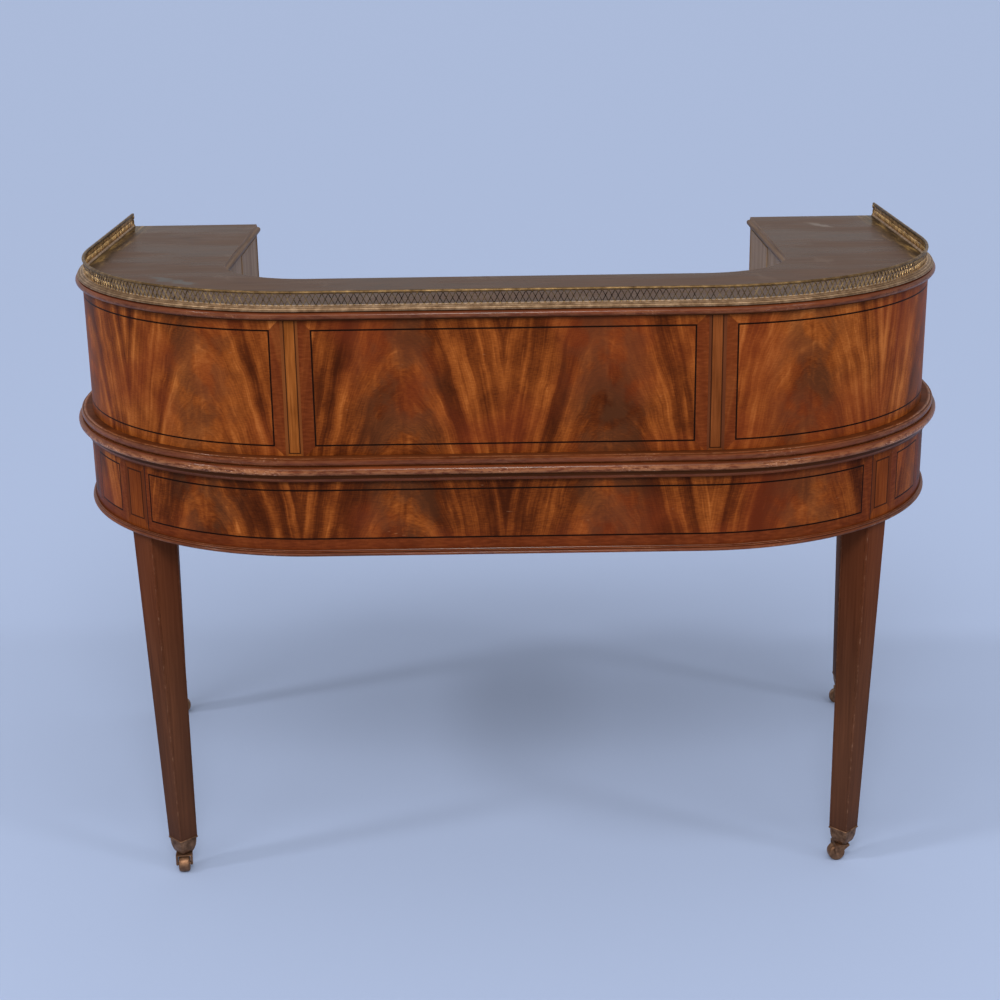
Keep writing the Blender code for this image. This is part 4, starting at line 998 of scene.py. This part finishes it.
# A square cup: rounded lower shoulders, flat tapering sides, and a groove under the lip
SOCKET_CUP = (
    (0.0315, 0.0092, 0.0036, 0), (0.0319, 0.0108, 0.0038, 0), (0.0332, 0.0122, 0.0034, 0),
    (0.036, 0.0132, 0.0028, 0), (0.04, 0.0142, 0.0022, 0), (0.044, 0.015, 0.0018, 0),
    (0.05, 0.0155, 0.0016, 0), (0.0552, 0.0158, 0.0014, 0), (0.0559, 0.0158, 0.0014, 0),
    (0.0562, 0.017, 0.0012, 0), (0.0569, 0.0175, 0.0012, 0), (0.0586, 0.0175, 0.0012, 0), (0.05942, 0.0168, 0.0012, 0),
)
# The castor's crown and cheeks from the side, as (ahead, z)
CROWN = [(-0.0078, 0.0308), (-0.0082, 0.0288), (-0.006, 0.0282), (0.014, 0.0282), (0.0162, 0.0288), (0.0156, 0.0308)]
CHEEK = [(-0.0078, 0.0306), (-0.0082, 0.0286), (-0.005, 0.0262), (-0.001, 0.0225), (0.004, 0.017), (0.007, 0.0132)]
CHEEK += [(0.009, 0.0112), (0.0112, 0.0106), (0.0136, 0.0112), (0.0152, 0.013), (0.0158, 0.016), (0.016, 0.021)]
CHEEK += [(0.0162, 0.0286), (0.0156, 0.0306)]
# The axle and the barrel wheel, as (radius, height)
AXLE = [(0, -0.0137), (0.0022, -0.0137), (0.0026, -0.013), (0.0026, 0.013), (0.0022, 0.0137), (0, 0.0137)]
BARREL = [(0.0138, 0.0), (0.0136, 0.004), (0.0132, 0.007), (0.0122, 0.0084), (0.01, 0.009), (0.0029, 0.0088)]
BARREL = [(radius, -height) for radius, height in BARREL[:0:-1]] + BARREL


def fork_part(name, outline, span, foot, ahead, beside, body, *nodes):
    """A flat outline (ahead, z) between two distances beside the pivot, its outer face 8 % smaller."""
    outline = np.array(outline)
    near, far = span
    step = math.copysign(0.001, far - near)
    layers = []
    for out, inset in ((near, 0.0), (far - step, 0.0), (far, 0.08)):
        shape = outline + (outline.mean(0) - outline) * inset
        layers.append(np.array(foot) + shape[:, :1] * ahead + out * beside + shape[:, 1:] * (0, 0, 1))
    faces, _, _ = tube_faces(3, len(outline))
    make_piece(name, np.concatenate(layers), faces, [CASTOR_BRASS], body, "dark_brass", *nodes, sharp=30)


def make_castor(name, foot):
    """A horn with two short cheeks that sweep from the pivot to the axle, and a barrel wheel between them."""
    body = f"castor_{name}"
    angle = math.radians(CASTOR_TURNS[name])
    ahead = np.array([math.cos(angle), math.sin(angle), 0])
    beside = np.array([-math.sin(angle), math.cos(angle), 0])
    centre = np.array(foot) + CASTOR_TRAIL * ahead + (0, 0, AXLE_HEIGHT)
    fork_part(f"castor_crown_{name}", CROWN, (-0.0132, 0.0132), foot, ahead, beside, body, f"castor_fork_{name}")
    for tag, side in (("a", 1), ("b", -1)):
        fork_part(f"castor_cheek_{tag}_{name}", CHEEK, (side * 0.0103, side * 0.0134), foot, ahead, beside, body)
    revolved(f"castor_axle_{name}", AXLE, centre, beside, CASTOR_BRASS, body, "dark_brass", steps=16)
    revolved(f"castor_barrel_{name}", BARREL, centre, beside, CASTOR_BRASS, f"wheel_{name}", "aged_brass",
             f"castor_wheel_{name}", wear=0.1)


# Drawers

# Frieze drawers from the left to the right end of each: shift of the figure, and the knobs' shifts along it
FRIEZE_DRAWERS = {
    "left": (-0.636, -0.251, 0.0, {"a": 0.0}), "centre": (-0.229, 0.229, FIGURE_PERIOD / 2, {"a": -0.14, "b": 0.14}),
    "right": (0.251, 0.636, 0.0, {"a": 0.0}),
}
# Lower and upper edges of the drawer fronts
FRIEZE_FRONT = (0.6173, 0.7143)
SMALL_FRONT = (0.7531, 0.8456)
WING_FRONT = (0.7531, 0.9526)
WING_DRAWER = (0.161, 0.367)
CASE_WALL = 0.008
SMALL_BAY = (2 * (PILASTER[0] - 0.0003) - 2 * CASE_WALL) / 3
# Knobs: radius and length, and the gap behind them
LARGE_KNOB = (0.014, 0.018)
SMALL_KNOB = (0.0085, 0.0145)
KNOB_GAP = 0.0004
STRING_MARGIN = 0.014


def make_knob(name, radius, length, centre, axis, body):
    """A turned knob: a rose, a waist and a domed button."""
    dome = [(radius * math.sin(t), length * (0.72 + 0.28 * math.cos(t))) for t in np.radians(np.linspace(12, 128, 9))]
    low = [(0.42, 0.44), (0.34, 0.34), (0.36, 0.2), (0.55, 0.13), (0.8, 0.1), (0.8, 0.03), (0.76, 0.0)]
    profile = [(0, length)] + dome + [(radius * r, length * h) for r, h in low] + [(0, 0)]
    revolved(f"{name}_turned", profile, centre, axis, KNOB_BRASS, body, "aged_brass", name, wear=0.35)


# Cock bead: (inwards, outwards) from the edge of the drawer front
COCK_BEAD = np.array([(0.0, 0.0), (0.0, 0.0009), (0.0004, 0.0014), (0.0011, 0.0014), (0.0016, 0.0009), (0.0016, 0.0)])


def drawer_face(name, origin, along, outward, half, upright, material, body, seam=0.0, edge=LENGTHWISE):
    """A veneered face with a string line near its edge, and a cock bead round it."""
    place = flat_place(origin, along, outward)
    low, high = upright
    string = (STRING_MARGIN - half, half - STRING_MARGIN, low + STRING_MARGIN, high - STRING_MARGIN)
    veneer_sheet(f"{name}_veneer", place, (-half, half), upright, string, material, body, half=0.0008, columns=0.04,
                 shift=seam)
    inward = np.array([(1, 1), (-1, 1), (-1, -1), (1, -1)])
    s = np.array([-half, half, half, -half])[:, None] + COCK_BEAD[:, 0] * inward[:, :1]
    z = np.array([low, low, high, high])[:, None] + COCK_BEAD[:, 0] * inward[:, 1:]
    points = np.stack([*place(s, COCK_BEAD[:, 1] + 0.0001), z], -1).reshape(-1, 3)
    faces, _, _ = wrap_faces(4, len(COCK_BEAD), close_rows=True, close_columns=True)
    make_piece(f"{name}_cock_bead", points, faces, [edge], body, "mahogany", sharp=60)


def make_fronts():
    """Faces and knobs of the three frieze drawers, the three small drawers and the two wing drawers."""
    for name, (start, end, seam, knobs) in FRIEZE_DRAWERS.items():
        middle, half = (start + end) / 2, (end - start) / 2
        body = f"frieze_drawer_{name}"
        drawer_face(f"frieze_front_{name}", (middle, FRONT_Y), (-1, 0), (0, 1), half, FRIEZE_FRONT, FRIEZE_FLAME, body,
                    seam)
        for tag, shift in knobs.items():
            centre = (middle + shift, FRONT_Y + KNOB_GAP, sum(FRIEZE_FRONT) / 2)
            make_knob(f"frieze_knob_{name}_{tag}", *LARGE_KNOB, centre, (0, 1, 0), body)
    for index, name in enumerate(FRIEZE_DRAWERS):
        middle = (index - 1) * (SMALL_BAY + CASE_WALL)
        body = f"small_drawer_{name}"
        drawer_face(f"small_front_{name}", (middle, WELL_BACK), (-1, 0), (0, 1), SMALL_BAY / 2 - 0.001, SMALL_FRONT,
                    STAGE_FLAME, body, FIGURE_PERIOD / 2)
        centre = (middle, WELL_BACK + KNOB_GAP, sum(SMALL_FRONT) / 2)
        make_knob(f"small_knob_{name}", *SMALL_KNOB, centre, (0, 1, 0), body)
    middle, half = (WING_DRAWER[0] + WING_DRAWER[1]) / 2, (WING_DRAWER[1] - WING_DRAWER[0]) / 2
    for name, side in SIDES.items():
        body = f"wing_drawer_{name}"
        drawer_face(f"wing_front_{name}", (side * WELL_X, middle), (0, side), (-side, 0), half, WING_FRONT, WELL_WOOD,
                    body, edge=WELL_WOOD)
        centre = (side * (WELL_X - KNOB_GAP), middle, sum(WING_FRONT) / 2)
        make_knob(f"wing_knob_{name}", *SMALL_KNOB, centre, (-side, 0, 0), body)


# Room

# Windows: way that the light comes from in degrees (0 is behind the camera), strength and softness in degrees
WINDOWS = ((-68, 0.46, 7), (-32, 0.38, 26), (0, 0.32, 20), (32, 0.27, 26), (60, 0.26, 8), (180, 0.18, 30))
WINDOW_HEIGHT = 43
ROOM_LIGHT = 0.6
WHITE = (1.0, 1.0, 1.0, 1.0)
LAMP_PLACE = (0.0, -2.9, 2.8)
LAMP_AIM = (0.0, 0.0, 0.6)
LAMP_SIZE = 0.8
LAMP_WATTS = 32
FLOOR_COLOUR = (171, 186, 217)
BACKDROP_COLOUR = (171, 185, 218)
# Camera: millimetres, degrees down from level, radians of roll, and place
CAMERA_LENS = 64.32
CAMERA_DOWN = 17.72
CAMERA_ROLL = -0.0147
CAMERA_PLACE = (-0.0139, -2.9097, 1.4841)


def make_floor():
    """A large pale matt floor that keeps the desk's shadow."""
    f = Finish("pale_floor")
    matt = f.node("ShaderNodeBsdfDiffuse")
    matt.inputs["Color"].default_value = tone(*FLOOR_COLOUR)
    f.tree.links.new(matt.outputs[0], f.tree.nodes["Material Output"].inputs[0])
    mesh = bpy.data.meshes.new("floor")
    mesh.from_pydata([(-60, -60, 0), (60, -60, 0), (60, 90, 0), (-60, 90, 0)], [], [(0, 1, 2, 3)])
    mesh.materials.append(f.material)
    add_object("floor", mesh)


def make_light():
    """An even pale room, a round lamp above the camera, and windows on both sides and, weaker, behind the sitter."""
    world = bpy.data.worlds.new("room")
    bpy.context.scene.world = world
    world.use_nodes = True
    nodes, links = world.node_tree.nodes, world.node_tree.links
    lighting = nodes["Background"]
    seen = nodes.new("ShaderNodeBackground")
    for background, colour, strength in ((lighting, WHITE, ROOM_LIGHT), (seen, tone(*BACKDROP_COLOUR), 1.0)):
        background.inputs[0].default_value = colour
        background.inputs[1].default_value = strength
    mix = nodes.new("ShaderNodeMixShader")
    links.new(nodes.new("ShaderNodeLightPath").outputs["Is Camera Ray"], mix.inputs[0])
    links.new(lighting.outputs[0], mix.inputs[1])
    links.new(seen.outputs[0], mix.inputs[2])
    links.new(mix.outputs[0], nodes["World Output"].inputs[0])
    for index, (azimuth, power, softness) in enumerate(WINDOWS):
        window = bpy.data.lights.new(f"window_{index}", "SUN")
        window.energy = power
        window.angle = math.radians(softness)
        turn = (math.radians(90 - WINDOW_HEIGHT), 0, math.radians(azimuth))
        add_object(f"window_{index}", window).rotation_euler = Euler(turn, "XYZ")
    lamp = bpy.data.lights.new("lamp", "AREA")
    lamp.shape = "DISK"
    lamp.size = LAMP_SIZE
    lamp.energy = LAMP_WATTS
    holder = add_object("lamp", lamp)
    holder.location = LAMP_PLACE
    holder.rotation_euler = (Vector(LAMP_AIM) - Vector(LAMP_PLACE)).to_track_quat("-Z", "Y").to_euler()


def make_camera():
    """The photograph's view."""
    lens = bpy.data.cameras.new("camera")
    lens.sensor_width = 36
    lens.sensor_fit = "HORIZONTAL"
    lens.lens = CAMERA_LENS
    camera = add_object("camera", lens)
    look = Matrix.Rotation(math.radians(90 - CAMERA_DOWN), 4, "X") @ Matrix.Rotation(CAMERA_ROLL, 4, "Z")
    camera.matrix_world = Matrix.Translation(CAMERA_PLACE) @ look
    bpy.context.scene.camera = camera


bpy.context.scene.view_settings.view_transform = "Standard"
make_camera()
make_light()
make_floor()
paint_nodes()
stage_veneers()
frieze_veneers()
make_boards()
make_bead()
make_gallery()
make_legs()
make_fronts()
well_veneers()
make_leather()
